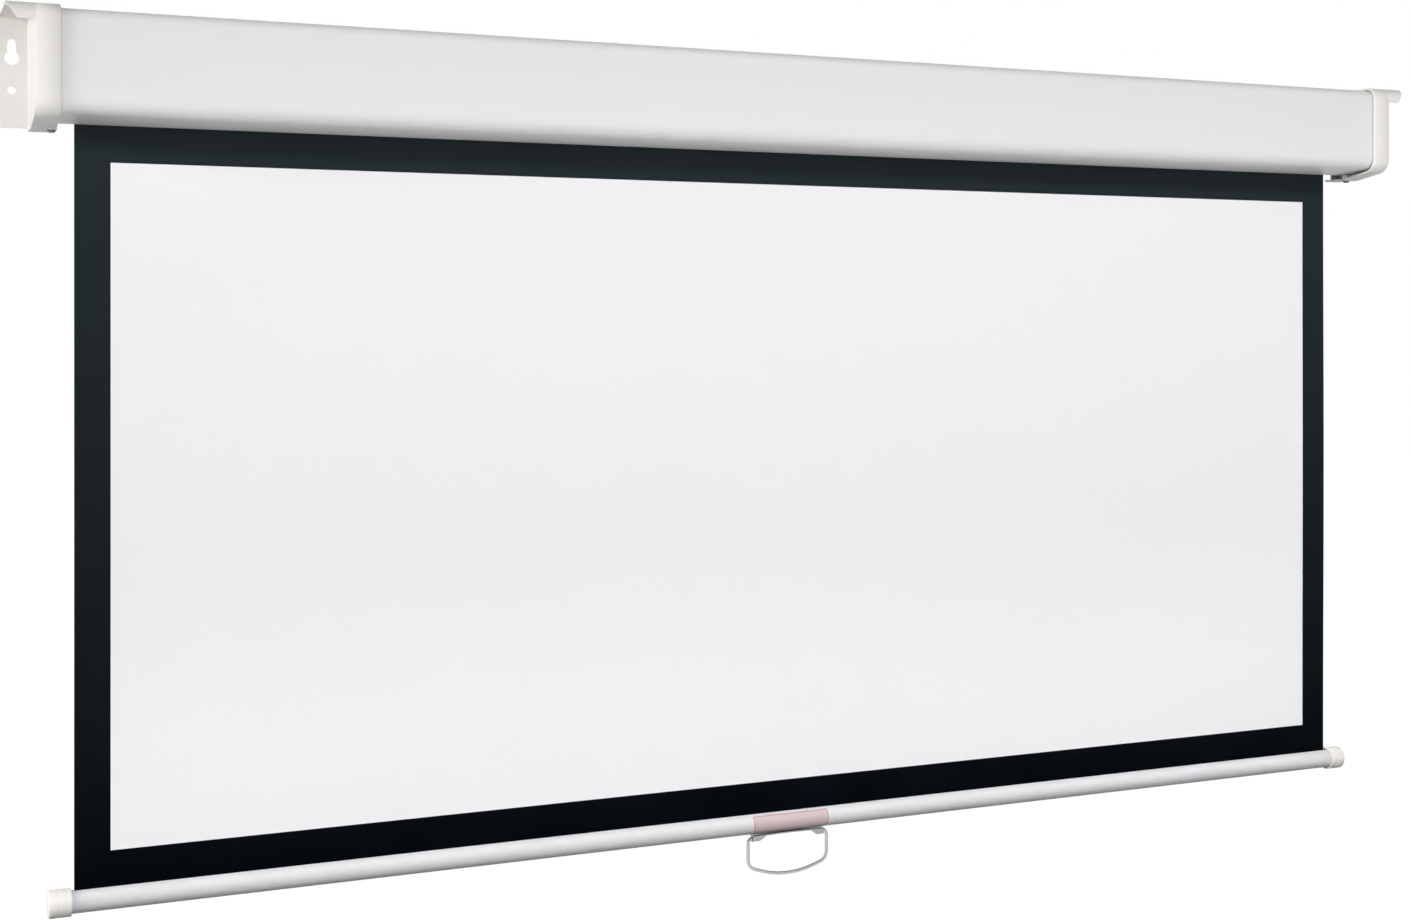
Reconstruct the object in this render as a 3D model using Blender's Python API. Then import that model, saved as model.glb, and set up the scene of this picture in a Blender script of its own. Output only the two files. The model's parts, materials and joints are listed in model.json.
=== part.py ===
"""A wall or ceiling mounted projector screen that pulls down from a steel case.

A spring roller hangs between two brackets inside the moulded end caps. The screen fabric leaves the wall
side of the roller, drops through the slot in the case's floor and ends in a round bar with a wire handle.
Two pawls on the roller's left end fall into the notches of a ratchet wheel and hold the screen down.

Frame: X runs along the case, +Y points into the wall, +Z is up. The wall is the plane Y = 0, and the
origin is the middle of the case's back. The model stands with the screen fully down. Metres throughout.
"""

import math

import bmesh
import bpy
from mathutils import Matrix, Vector

# Fabric and its printed picture
FABRIC_WIDTH = 1.330
FABRIC_THICKNESS = 0.0005
SIDE_BORDER = 0.029
TOP_BORDER = 0.030
BOTTOM_BORDER = 0.030
FABRIC_TO_WALL = 0.015
FABRIC_SEAM = 0.0004

# Case: one roll-formed steel channel, open at the floor where the fabric leaves
CASE_DEPTH = 0.076
CASE_HEIGHT = 0.0895
CASE_FRONT_RISE = 0.0045
CASE_SHEET = 0.001
CASE_TOP_BEND = 0.0085
CASE_FRONT_BEND = 0.012
CASE_BACK_BEND = 0.002
LIP_BEND = 0.0008
LIP_HEIGHT = 0.007
LIP_CLEARANCE = 0.006
RETURN_DEPTH = 0.006
RETURN_RISE = 0.004

# End caps: moulded sleeves with a wall flange and a ceiling ear
CAP_MARGIN = 0.015
CAP_WIDTH = 0.021
CAP_WALL = 0.002
CAP_PROUD = 0.003
CAP_SLEEVE = 0.0085
CAP_DROP_FRONT = 0.003
CAP_DROP_BELLY = 0.006
CAP_DROP_BACK = 0.0055
CAP_BELLY_TO_WALL = 0.030
CAP_BELLY_RADIUS = 0.030
CAP_EDGE_ROUNDING = 0.0016
FLANGE_WIDTH = 0.022
FLANGE_THICKNESS = 0.003
FLANGE_CORNER = 0.002
FLANGE_DROP = 0.0027
EAR_ROLL = 0.015
EAR_TAPER = 0.009
KEYHOLE_RADIUS = 0.006
KEYHOLE_SLOT = 0.0035
KEYHOLE_RISE = 0.0125
KEYHOLE_BELOW_TOP = 0.037
SCREW_HOLE_RADIUS = 0.0035
SCREW_HOLE_BELOW_TOP = 0.064
HOLE_FROM_EDGE = 0.0095
EAR_HOLE_TO_WALL = 0.034

# Roller, its ends and what is left of the fabric on it
ROLLER_RADIUS = 0.0140
ROLLER_WALL = 0.0008
ROLLER_BELOW_TOP = 0.041
ROLLER_PAST_FABRIC = 0.003
WRAP_TURNS = 2.25
WRAP_GAP = 0.00045
TURNS_TO_RAISE = 6
PARKING_GAP = 0.0125
SPLINE_WIDTH = 0.006
SPLINE_HEAD = 0.0016
SPLINE_NECK = 0.0016
SLIT_CLEARANCE = 0.0005
PLUG_LENGTH = 0.020
PLUG_FLANGE = 0.002
PLUG_FLANGE_INSET = 0.0004
FLANGE_TO_TUBE = 0.0003

# Spindle, which stands still, and the spring round it
SPINDLE_RADIUS = 0.003
SPINDLE_LENGTH = 0.240
SPEAR_THICKNESS = 0.003
SPEAR_LENGTH = 0.006
HUB_LENGTH = 0.008
SPRING_WIRE_RADIUS = 0.0008
SPRING_RADIUS = 0.0092
SPRING_COILS = 32
SPRING_FACETS = 9
ANCHOR_LENGTH = 0.014
ANCHOR_NECK = 0.010

# Ratchet wheel and pawls
WHEEL_RADIUS = 0.0078
WHEEL_THICKNESS = 0.003
WHEEL_HUB_RADIUS = 0.0055
WHEEL_HUB_LENGTH = 0.005
WHEEL_PIN_RADIUS = 0.0008
PAWL_PIN_CIRCLE = 0.0110
PAWL_PIN_RADIUS = 0.0012
PAWL_PIN_HEAD = 0.0019
PAWL_HUB_RADIUS = 0.0024
PAWL_REACH = 0.0072
PAWL_TOOTH = 0.0060
PAWL_TOOTH_TIP = 0.0012
PAWL_ARM = 0.0014
PAWL_SWING_DEG = 16.0
NOTCH_CLEARANCE = 0.0005
NOTCH_RAMP_DEG = 24.0

# Brackets, bush and gudgeon
BRACKET_THICKNESS = 0.0015
BRACKET_WIDTH = 0.040
BRACKET_HEIGHT = 0.058
BRACKET_CORNER = 0.006
BRACKET_SCREW_TO_EDGE = 0.007
GUDGEON_RADIUS = 0.0025
BUSH_RADIUS = 0.0045
BUSH_FLANGE_RADIUS = 0.0065
BUSH_FLANGE = 0.0014
BOSS_RADIUS = 0.004

# Screws
SCREW_SHANK = 0.0015
SCREW_HEAD = 0.0031
SCREW_HEAD_HEIGHT = 0.0019
CAP_SCREW_HEAD = 0.0036
CAP_SCREW_HEAD_HEIGHT = 0.0021
CAP_SCREW_LENGTH = 0.014
BRACKET_SCREW_LENGTH = 0.0075
PLATE_SCREW_LENGTH = 0.0042
PLATE_SCREW_SHANK = 0.0010
PLATE_SCREW_HEAD = 0.0020
PLATE_SCREW_HEAD_HEIGHT = 0.0009

# Bottom bar
BAR_RADIUS = 0.00975
BAR_WALL = 0.0008
BAR_SLIT = 0.003
BAR_PAST_FABRIC = 0.009
HEM_ROD_RADIUS = 0.0035
HEM_ROD_SHORT = 0.012
HEM_LOOP_DEG = 318.0
BAR_CAP_RADIUS = 0.0118
BAR_CAP_LENGTH = 0.019
BAR_CAP_MARGIN = 0.0025
BAR_CAP_TO_FABRIC = 0.001
BAR_CAP_SKIRT_GAP = 0.0008
BAR_CAP_DOME = 0.0022
BAR_CAP_GROOVE = 0.00025
BAR_CAP_GROOVES = 2

# Handle and the plate that carries it
PLATE_LENGTH = 0.077
PLATE_WIDTH = 0.011
PLATE_THICKNESS = 0.001
PLATE_ARCH = 0.001
LUG_LENGTH = 0.014
LUG_TAPER = 0.007
LUG_WALL = 0.001
PLATE_SCREW_SPREAD = 0.030
WIRE_RADIUS = 0.00175
HANDLE_HALF_WIDTH = 0.0425
# The handle's drop is to the point where the tangents of its bow meet
HANDLE_SIDE_DROP = 0.0275
HANDLE_DROP = 0.0425
HANDLE_SHOULDER = 0.004
HANDLE_CORNER = 0.010
HANDLE_BOW_RADIUS = 0.090
PIVOT_DEPTH = 0.009

# Clearance between neighbouring pieces, the gap of a running fit and the facets of a round piece
CLEARANCE = 0.0003
RUNNING_GAP = 0.0003
ROUND_STEPS = 32
SMALL_STEPS = 16
ARC_STEP_DEG = 15.0
BOW_STEP_DEG = 7.0
SHARP_DEG = 32.0

# Places that follow from the sizes
CASE_TOP = CASE_HEIGHT / 2
CASE_FLOOR = -CASE_HEIGHT / 2
CASE_FRONT_FLOOR = CASE_FLOOR + CASE_FRONT_RISE
CAP_TOP = CASE_TOP + CAP_PROUD
CAP_FRONT = CASE_DEPTH + CAP_PROUD
CAP_FRONT_FLOOR = CASE_FRONT_FLOOR - CAP_DROP_FRONT
CAP_BELLY = CASE_FLOOR - CAP_DROP_BELLY
CAP_MOUTH = FABRIC_WIDTH / 2 + CAP_MARGIN
CAP_END = CAP_MOUTH + CAP_WIDTH
CASE_END = CAP_MOUTH + CAP_SLEEVE
FLANGE_EDGE = CAP_END + FLANGE_WIDTH
CAP_SCREW_X = CAP_MOUTH + CAP_SLEEVE / 2
WRAP_PITCH = FABRIC_THICKNESS + WRAP_GAP
WRAP_INNER = ROLLER_RADIUS + CLEARANCE + FABRIC_THICKNESS / 2
FABRIC_RADIUS = WRAP_INNER + WRAP_TURNS * WRAP_PITCH
AXIS_Y = -(FABRIC_TO_WALL + FABRIC_RADIUS)
AXIS_Z = CASE_TOP - ROLLER_BELOW_TOP
TRAVEL = 2 * math.pi * FABRIC_RADIUS * TURNS_TO_RAISE
FABRIC_BOTTOM = CASE_FLOOR - TRAVEL - PARKING_GAP
BAR_Z = FABRIC_BOTTOM - BAR_RADIUS
ROLLER_END = FABRIC_WIDTH / 2 + ROLLER_PAST_FABRIC
PLUG_FACE = ROLLER_END + FLANGE_TO_TUBE + PLUG_FLANGE
PLUG_RADIUS = ROLLER_RADIUS - ROLLER_WALL - CLEARANCE
BRACKET_FACE = CASE_END + 2 * CLEARANCE
BRACKET_BACK = BRACKET_FACE + BRACKET_THICKNESS
SPINDLE_BORE = SPINDLE_RADIUS + RUNNING_GAP
BRACKET_SCREW_SPREAD = BRACKET_HEIGHT / 2 - BRACKET_SCREW_TO_EDGE
SPINDLE_END = BRACKET_BACK + SPEAR_LENGTH / 2
SPEAR_START = BRACKET_FACE - SPEAR_LENGTH / 4
SPRING_BORE = SPRING_RADIUS * math.cos(math.pi / SPRING_FACETS) - SPRING_WIRE_RADIUS - CLEARANCE
HUB_OUTER = ROLLER_END - PLUG_LENGTH - 2 * CLEARANCE
ANCHOR_INNER = SPINDLE_END - SPINDLE_LENGTH
ANCHOR_OUTER = ANCHOR_INNER + ANCHOR_LENGTH
WHEEL_FACE = PLUG_FACE + 2 * CLEARANCE
WHEEL_PIN_X = WHEEL_FACE + WHEEL_THICKNESS + WHEEL_HUB_LENGTH / 2
SLIT_WIDTH = SPLINE_NECK + 2 * SLIT_CLEARANCE
SPLINE_CROWN = SPLINE_WIDTH**2 / 8 / (ROLLER_RADIUS - ROLLER_WALL) + CLEARANCE
PLATE_TOP = -(BAR_RADIUS + CLEARANCE)
PIVOT_BORE = WIRE_RADIUS + RUNNING_GAP
PIVOT_DROP = PLATE_ARCH + PLATE_THICKNESS + CLEARANCE + PIVOT_BORE - PLATE_TOP
BAR_CAP_MOUTH = FABRIC_WIDTH / 2 + BAR_CAP_MARGIN
BAR_END = FABRIC_WIDTH / 2 + BAR_PAST_FABRIC
LOOP_RADIUS = HEM_ROD_RADIUS + CLEARANCE + FABRIC_THICKNESS / 2
CAP_CORNERS = [
    (0.0, CAP_TOP, 0.0),
    (-CAP_FRONT, CAP_TOP, CASE_TOP_BEND + CASE_SHEET + CAP_PROUD),
    (-CAP_FRONT, CAP_FRONT_FLOOR, CASE_FRONT_BEND + CASE_SHEET + CAP_PROUD),
    (-CAP_BELLY_TO_WALL, CAP_BELLY, CAP_BELLY_RADIUS),
    (0.0, CASE_FLOOR - CAP_DROP_BACK, 0.0),
]


def clear_scene():
    for thing in list(bpy.data.objects):
        bpy.data.objects.remove(thing, do_unlink=True)


def finish(name, colour, roughness, metallic=0.0):
    """A Principled material of one colour."""
    material = bpy.data.materials.new(name)
    material.use_nodes = True
    shader = material.node_tree.nodes["Principled BSDF"]
    shader.inputs["Base Color"].default_value = (*colour, 1.0)
    shader.inputs["Roughness"].default_value = roughness
    shader.inputs["Metallic"].default_value = metallic
    material.diffuse_color = (*colour, 1.0)
    return material


def empty(name, place, parent=None):
    """An empty that carries a moving group. Its X axis lies on the group's joint."""
    carrier = bpy.data.objects.new(name, None)
    carrier.empty_display_size = 0.03
    carrier.location = place
    carrier.parent = parent
    bpy.context.scene.collection.objects.link(carrier)
    return carrier


def piece(name, mesh, material, parent):
    """A named object from a bmesh, in its parent's frame."""
    bmesh.ops.recalc_face_normals(mesh, faces=mesh.faces)
    data = bpy.data.meshes.new(name)
    mesh.to_mesh(data)
    mesh.free()
    data.materials.append(material)
    made = bpy.data.objects.new(name, data)
    made.parent = parent
    bpy.context.scene.collection.objects.link(made)
    shade(made)
    return made


def shade(made):
    """Smooth shading that keeps the corners sharp."""
    made.data.shade_smooth()
    made.data.set_sharp_from_angle(angle=math.radians(SHARP_DEG))


def combine(target, operation, mesh):
    """Applies a Boolean with a solid drawn in the target's frame, then shades the edges that it made."""
    tool = piece(f"{target.name}_tool", mesh, target.data.materials[0], target.parent)
    modifier = target.modifiers.new(operation, "BOOLEAN")
    modifier.operation = operation
    modifier.object = tool
    graph = bpy.context.evaluated_depsgraph_get()
    result = bpy.data.meshes.new_from_object(target.evaluated_get(graph))
    target.modifiers.remove(modifier)
    target.data = result
    bpy.data.objects.remove(tool, do_unlink=True)
    shade(target)


def cut(target, mesh):
    combine(target, "DIFFERENCE", mesh)


def join(target, mesh):
    combine(target, "UNION", mesh)


def offset_corners(corners, distance, closed=True):
    """The corners (across, up, radius) moved to the left of the path, with radii that keep it parallel."""
    shifted = []
    count = len(corners)
    for index, (across, up, radius) in enumerate(corners):
        here = Vector((across, up))
        before = Vector(corners[index - 1][:2]) if closed or index > 0 else None
        after = Vector(corners[(index + 1) % count][:2]) if closed or index < count - 1 else None
        way_in = (here - before).normalized() if before is not None else (after - here).normalized()
        way_out = (after - here).normalized() if after is not None else way_in
        left_in = Vector((-way_in.y, way_in.x))
        left_out = Vector((-way_out.y, way_out.x))
        place = here + (left_in + left_out) * (distance / (1 + left_in.dot(left_out)))
        turn = way_in.x * way_out.y - way_in.y * way_out.x
        bend = radius - math.copysign(distance, turn) if radius > 0 else 0.0
        shifted.append((place.x, place.y, max(bend, 0.0)))
    return shifted


def rounded(corners, closed=True, step_deg=ARC_STEP_DEG):
    """The points of a path through the corners, with an arc of each corner's radius."""
    points = []
    count = len(corners)
    for index, (across, up, radius) in enumerate(corners):
        here = Vector((across, up))
        if radius == 0 or (not closed and index in (0, count - 1)):
            points.append((across, up))
            continue
        way_in = (here - Vector(corners[index - 1][:2])).normalized()
        way_out = (Vector(corners[(index + 1) % count][:2]) - here).normalized()
        turn = math.atan2(way_in.x * way_out.y - way_in.y * way_out.x, way_in.dot(way_out))
        reach = radius * math.tan(abs(turn) / 2)
        side = math.copysign(1.0, turn)
        centre = here - way_in * reach + side * radius * Vector((-way_in.y, way_in.x))
        start = math.atan2(-side * way_in.x, side * way_in.y)
        steps = max(2, math.ceil(abs(math.degrees(turn)) / step_deg))
        for step in range(steps + 1):
            angle = start + turn * step / steps
            points.append((centre.x + radius * math.cos(angle), centre.y + radius * math.sin(angle)))
    return points


def circle_points(radius, steps, centre=(0.0, 0.0)):
    angles = [2 * math.pi * step / steps for step in range(steps)]
    return [(centre[0] + radius * math.cos(a), centre[1] + radius * math.sin(a)) for a in angles]


def box_points(across, up, centre=(0.0, 0.0), turn=0.0):
    """The corners of a rectangle round a centre, turned by an angle."""
    spin = Matrix.Rotation(turn, 2)
    corners = [(-across / 2, -up / 2), (across / 2, -up / 2), (across / 2, up / 2), (-across / 2, up / 2)]
    return [tuple(Vector(centre) + spin @ Vector(corner)) for corner in corners]


def prism(outline, start, end, axis="X"):
    """A flat outline drawn out along an axis: (Y, Z) along X, (X, Z) along Y or (X, Y) along Z."""
    places = {"X": lambda a, b, c: (c, a, b), "Y": lambda a, b, c: (a, c, b), "Z": lambda a, b, c: (a, b, c)}
    mesh = bmesh.new()
    face = mesh.faces.new([mesh.verts.new(places[axis](a, b, start)) for a, b in outline])
    drawn = bmesh.ops.extrude_face_region(mesh, geom=[face])
    along = Vector(places[axis](0.0, 0.0, end - start))
    far = [v for v in drawn["geom"] if isinstance(v, bmesh.types.BMVert)]
    bmesh.ops.translate(mesh, vec=along, verts=far)
    return mesh


def ribbon(outer, inner, start, end):
    """A bent sheet drawn out along X, from two rows of points (Y, Z) that run side by side."""
    mesh = bmesh.new()
    count = len(outer)
    rows = []
    for x in (start, end):
        for row in (outer, inner):
            rows.append([mesh.verts.new((x, y, z)) for y, z in row])
    near_outer, near_inner, far_outer, far_inner = rows
    for index in range(count - 1):
        after = index + 1
        mesh.faces.new((near_outer[index], near_outer[after], near_inner[after], near_inner[index]))
        mesh.faces.new((far_outer[index], far_inner[index], far_inner[after], far_outer[after]))
        mesh.faces.new((near_outer[index], far_outer[index], far_outer[after], near_outer[after]))
        mesh.faces.new((near_inner[index], near_inner[after], far_inner[after], far_inner[index]))
    for index in (0, count - 1):
        mesh.faces.new((near_outer[index], near_inner[index], far_inner[index], far_outer[index]))
    return mesh


def turned(profile, steps=ROUND_STEPS, closed=False):
    """A profile of (X, radius) points spun about the X axis. A closed profile leaves a bore."""
    mesh = bmesh.new()
    verts = [mesh.verts.new((x, 0.0, radius)) for x, radius in profile]
    pairs = list(zip(verts, verts[1:]))
    if closed:
        pairs.append((verts[-1], verts[0]))
    edges = [mesh.edges.new(pair) for pair in pairs]
    about = {"cent": (0, 0, 0), "axis": (1, 0, 0), "angle": 2 * math.pi}
    bmesh.ops.spin(mesh, geom=verts + edges, steps=steps, use_merge=True, **about)
    bmesh.ops.remove_doubles(mesh, verts=mesh.verts, dist=1e-6)
    return mesh


def moved(mesh, place, turn=None):
    """The mesh turned, then carried to a place."""
    if turn is not None:
        bmesh.ops.transform(mesh, matrix=turn.to_4x4(), verts=mesh.verts)
    bmesh.ops.translate(mesh, vec=place, verts=mesh.verts)
    return mesh


def rod(radius, start, end, centre=(0.0, 0.0), steps=SMALL_STEPS):
    """A plain round rod along X about a centre (Y, Z)."""
    return prism(circle_points(radius, steps, centre), start, end)


def screw(name, place, turn, sizes, parent, steps=SMALL_STEPS):
    """A pan-head screw with a cross recess. Its shank runs along +X from under the head before the turn."""
    shank, head, height, length = sizes
    point = shank * 0.9
    profile = [(-height, 0.0), (-height, head * 0.55), (-height * 0.6, head * 0.9), (-height * 0.25, head)]
    profile += [(0.0, head), (0.0, shank), (length - point, shank), (length, shank * 0.35), (length, 0.0)]
    made = piece(name, moved(turned(profile, steps), place, turn), STEEL, parent)
    arm = head * 1.1
    for wide, tall in ((arm, arm * 0.24), (arm * 0.24, arm)):
        recess = prism(box_points(wide, tall), -height * 1.2, -height * 0.45)
        cut(made, moved(recess, place, turn))
    return made


TURN_TO_OUTBOARD = {1: Matrix.Identity(3), -1: Matrix.Rotation(math.pi, 3, "Z")}
TURN_UP = Matrix.Rotation(-math.pi / 2, 3, "Y")
SIDE_NAMES = {-1: "left", 1: "right"}


def case_shell():
    """The channel, in order: back, top, front, the floor that slopes down to the slot, and the lip."""
    lip_y = -(FABRIC_TO_WALL + LIP_CLEARANCE)
    corners = [
        (-RETURN_DEPTH, CASE_FLOOR + RETURN_RISE, 0.0),
        (0.0, CASE_FLOOR + RETURN_RISE, LIP_BEND + CASE_SHEET),
        (0.0, CASE_TOP, CASE_BACK_BEND + CASE_SHEET),
        (-CASE_DEPTH, CASE_TOP, CASE_TOP_BEND + CASE_SHEET),
        (-CASE_DEPTH, CASE_FRONT_FLOOR, CASE_FRONT_BEND + CASE_SHEET),
        (lip_y, CASE_FLOOR, LIP_BEND + CASE_SHEET),
        (lip_y, CASE_FLOOR + LIP_HEIGHT, 0.0),
    ]
    outer = rounded(corners, closed=False)
    inner = rounded(offset_corners(corners, CASE_SHEET, closed=False), closed=False)
    shell = piece("case_shell", ribbon(outer, inner, -CASE_END, CASE_END), PAINTED_STEEL, None)
    for side, label in SIDE_NAMES.items():
        x, y = side * CAP_SCREW_X, -CAP_BELLY_TO_WALL
        hole = circle_points(SCREW_SHANK + CLEARANCE, SMALL_STEPS, (x, y))
        cut(shell, prism(hole, CASE_FLOOR - CASE_SHEET, CASE_FRONT_FLOOR, "Z"))


def keyhole_points(across, up):
    """A round hole with a narrower slot above it, where the screw's head goes in and its neck slides up."""
    half = math.asin(KEYHOLE_SLOT / KEYHOLE_RADIUS)
    start, sweep = math.pi / 2 + half, 2 * math.pi - 2 * half
    round_part = [start + sweep * step / 18 for step in range(19)]
    points = [(across + KEYHOLE_RADIUS * math.cos(a), up + KEYHOLE_RADIUS * math.sin(a)) for a in round_part]
    top = up + KEYHOLE_RISE
    slot_part = [math.pi * step / 8 for step in range(9)]
    points += [(across + KEYHOLE_SLOT * math.cos(a), top + KEYHOLE_SLOT * math.sin(a)) for a in slot_part]
    return points


def end_cap(side):
    """A moulded cap: sleeve over the case's end, chamber for the bracket, wall flange and ceiling ear."""
    label = SIDE_NAMES[side]
    body = prism(rounded(CAP_CORNERS), side * CAP_MOUTH, side * CAP_END)
    rims = [e for e in body.edges if abs(e.verts[0].co.x - e.verts[1].co.x) < 1e-9]
    bmesh.ops.bevel(body, geom=rims, offset=CAP_EDGE_ROUNDING, segments=2, profile=0.5, affect="EDGES")
    cap = piece(f"{label}_end_cap", body, MOULDED_PLASTIC, None)

    inner = offset_corners(CAP_CORNERS, CAP_WALL)
    sleeve = [(CAP_WALL if y > -CAP_WALL * 1.01 else y, z, radius) for y, z, radius in inner]
    shoulder = side * (CASE_END + CLEARANCE)
    cut(cap, prism(rounded(sleeve), side * (CAP_MOUTH - CAP_WALL), shoulder))
    cut(cap, prism(rounded(inner), side * CASE_END, side * (CAP_END - CAP_WALL)))

    root = side * (CAP_END - CAP_WALL / 2)
    edge = side * FLANGE_EDGE
    flange = [
        (root, CASE_FLOOR - FLANGE_DROP, 0.0),
        (edge, CASE_FLOOR - FLANGE_DROP, FLANGE_CORNER),
        (edge, CAP_TOP, 0.0),
        (root, CAP_TOP, 0.0),
    ]
    join(cap, prism(rounded(flange), -FLANGE_THICKNESS, 0.0, "Y"))
    ear = [(0.0, CAP_TOP, 0.0), CAP_CORNERS[1], (-CAP_FRONT, CAP_TOP - EAR_ROLL, 0.0)]
    ear_outer = rounded(ear, closed=False)
    ear_inner = rounded(offset_corners(ear, FLANGE_THICKNESS, closed=False), closed=False)
    join(cap, ribbon(ear_outer, ear_inner, root, edge))

    axis_heights = (AXIS_Z + BRACKET_SCREW_SPREAD, AXIS_Z - BRACKET_SCREW_SPREAD)
    boss_start = side * (BRACKET_BACK + CLEARANCE)
    for height in axis_heights:
        centre = (AXIS_Y, height)
        join(cap, rod(BOSS_RADIUS, boss_start, side * (CAP_END - CAP_WALL / 2), centre))
        pilot_end = side * (CAP_END - CAP_WALL - CLEARANCE)
        cut(cap, rod(SCREW_SHANK + CLEARANCE, side * BRACKET_FACE, pilot_end, centre))
    x, y = side * CAP_SCREW_X, -CAP_BELLY_TO_WALL
    seat = circle_points(CAP_SCREW_HEAD + CAP_WALL / 2, ROUND_STEPS, (x, y))
    join(cap, prism(seat, CAP_BELLY, CAP_BELLY + CAP_WALL, "Z"))
    post = circle_points(BOSS_RADIUS - CLEARANCE, SMALL_STEPS, (x, y))
    join(cap, prism(post, CAP_BELLY + CAP_WALL / 2, CASE_FLOOR - CLEARANCE, "Z"))
    hole = circle_points(SCREW_SHANK + CLEARANCE, SMALL_STEPS, (x, y))
    cut(cap, prism(hole, CAP_BELLY - CAP_WALL, CASE_FLOOR, "Z"))

    slope = EAR_TAPER / EAR_ROLL
    over = CAP_WALL
    taper = [
        (edge + side * slope * over, CAP_TOP + over),
        (edge + side * FLANGE_WIDTH, CAP_TOP + over),
        (edge + side * FLANGE_WIDTH, CAP_TOP - EAR_ROLL - over),
        (edge - side * slope * (EAR_ROLL + over), CAP_TOP - EAR_ROLL - over),
    ]
    cut(cap, prism(taper, -CAP_FRONT - over, -CAP_FRONT + EAR_ROLL, "Y"))
    hole_x = side * (FLANGE_EDGE - HOLE_FROM_EDGE)
    through = (-2 * FLANGE_THICKNESS, FLANGE_THICKNESS)
    cut(cap, prism(keyhole_points(hole_x, CAP_TOP - KEYHOLE_BELOW_TOP), *through, "Y"))
    lower = circle_points(SCREW_HOLE_RADIUS, SMALL_STEPS, (hole_x, CAP_TOP - SCREW_HOLE_BELOW_TOP))
    cut(cap, prism(lower, *through, "Y"))
    upper = circle_points(SCREW_HOLE_RADIUS, SMALL_STEPS, (hole_x, -EAR_HOLE_TO_WALL))
    cut(cap, prism(upper, CAP_TOP - 2 * FLANGE_THICKNESS, CAP_TOP + FLANGE_THICKNESS, "Z"))

    place = (x, y, CAP_BELLY - CLEARANCE)
    sizes = (SCREW_SHANK, CAP_SCREW_HEAD, CAP_SCREW_HEAD_HEIGHT, CAP_SCREW_LENGTH)
    screw(f"{label}_cap_screw", place, TURN_UP, sizes, None)


def bracket(side):
    """A steel plate screwed to the cap's bosses. The left one holds the spear, the right one the bush."""
    label = SIDE_NAMES[side]
    half_width, half_height = BRACKET_WIDTH / 2, BRACKET_HEIGHT / 2
    corners = [
        (AXIS_Y + half_width, AXIS_Z + half_height, BRACKET_CORNER),
        (AXIS_Y - half_width, AXIS_Z + half_height, BRACKET_CORNER),
        (AXIS_Y - half_width, AXIS_Z - half_height, BRACKET_CORNER),
        (AXIS_Y + half_width, AXIS_Z - half_height, BRACKET_CORNER),
    ]
    start, end = side * BRACKET_FACE, side * BRACKET_BACK
    plate = piece(f"{label}_bracket", prism(rounded(corners), start, end), STEEL, None)
    through = (side * (BRACKET_FACE - CLEARANCE), side * (BRACKET_BACK + CLEARANCE))
    if side < 0:
        slot = box_points(SPEAR_THICKNESS + 2 * CLEARANCE, 2 * SPINDLE_BORE, (AXIS_Y, AXIS_Z))
        cut(plate, prism(slot, *through))
    else:
        cut(plate, rod(BUSH_RADIUS + CLEARANCE, *through, (AXIS_Y, AXIS_Z), ROUND_STEPS))
    for way, name in ((1, "upper"), (-1, "lower")):
        height = AXIS_Z + way * BRACKET_SCREW_SPREAD
        cut(plate, rod(SCREW_SHANK + CLEARANCE, *through, (AXIS_Y, height)))
        place = (side * (BRACKET_FACE - CLEARANCE), AXIS_Y, height)
        sizes = (SCREW_SHANK, SCREW_HEAD, SCREW_HEAD_HEIGHT, BRACKET_SCREW_LENGTH)
        screw(f"{label}_bracket_screw_{name}", place, TURN_TO_OUTBOARD[side], sizes, None, 12)


def gudgeon_bush(parent):
    """The nylon bush that lines the right bracket's hole."""
    bore = GUDGEON_RADIUS + RUNNING_GAP
    face = BRACKET_FACE - CLEARANCE
    profile = [
        (face - BUSH_FLANGE, bore),
        (face - BUSH_FLANGE, BUSH_FLANGE_RADIUS),
        (face, BUSH_FLANGE_RADIUS),
        (face, BUSH_RADIUS),
        (BRACKET_BACK + BUSH_FLANGE, BUSH_RADIUS),
        (BRACKET_BACK + BUSH_FLANGE, bore),
    ]
    piece("gudgeon_bush", turned(profile, 24, closed=True), NYLON, parent)


def spindle(parent):
    """The rod that stands still inside the roller, with a flat spear in the left bracket's slot."""
    made = piece("spindle", rod(SPINDLE_RADIUS, -SPINDLE_END, -ANCHOR_INNER), STEEL, parent)
    flat = SPINDLE_RADIUS - SPEAR_THICKNESS / 2
    for way in (-1, 1):
        centre = (way * (SPEAR_THICKNESS / 2 + flat), 0.0)
        chip = prism(box_points(2 * flat, 4 * SPINDLE_RADIUS, centre), -SPINDLE_END - flat, -SPEAR_START)
        cut(made, chip)
    pin = rod(WHEEL_PIN_RADIUS + CLEARANCE, -2 * SPINDLE_RADIUS, 2 * SPINDLE_RADIUS, steps=12)
    cut(made, moved(pin, (-WHEEL_PIN_X, 0, 0), TURN_UP))


def spring_hub(parent):
    """The collar on the spindle that the spring's still end grips."""
    profile = [(-HUB_OUTER, SPINDLE_BORE), (-HUB_OUTER, SPRING_BORE)]
    profile += [(-HUB_OUTER + HUB_LENGTH, SPRING_BORE), (-HUB_OUTER + HUB_LENGTH, SPINDLE_BORE)]
    piece("spring_hub", turned(profile, 24, closed=True), NYLON, parent)


def pawl_direction(number):
    """The turn that carries the first pawl's drawing to each pawl: they sit on opposite sides."""
    return math.pi / 2 + math.pi * number


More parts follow.
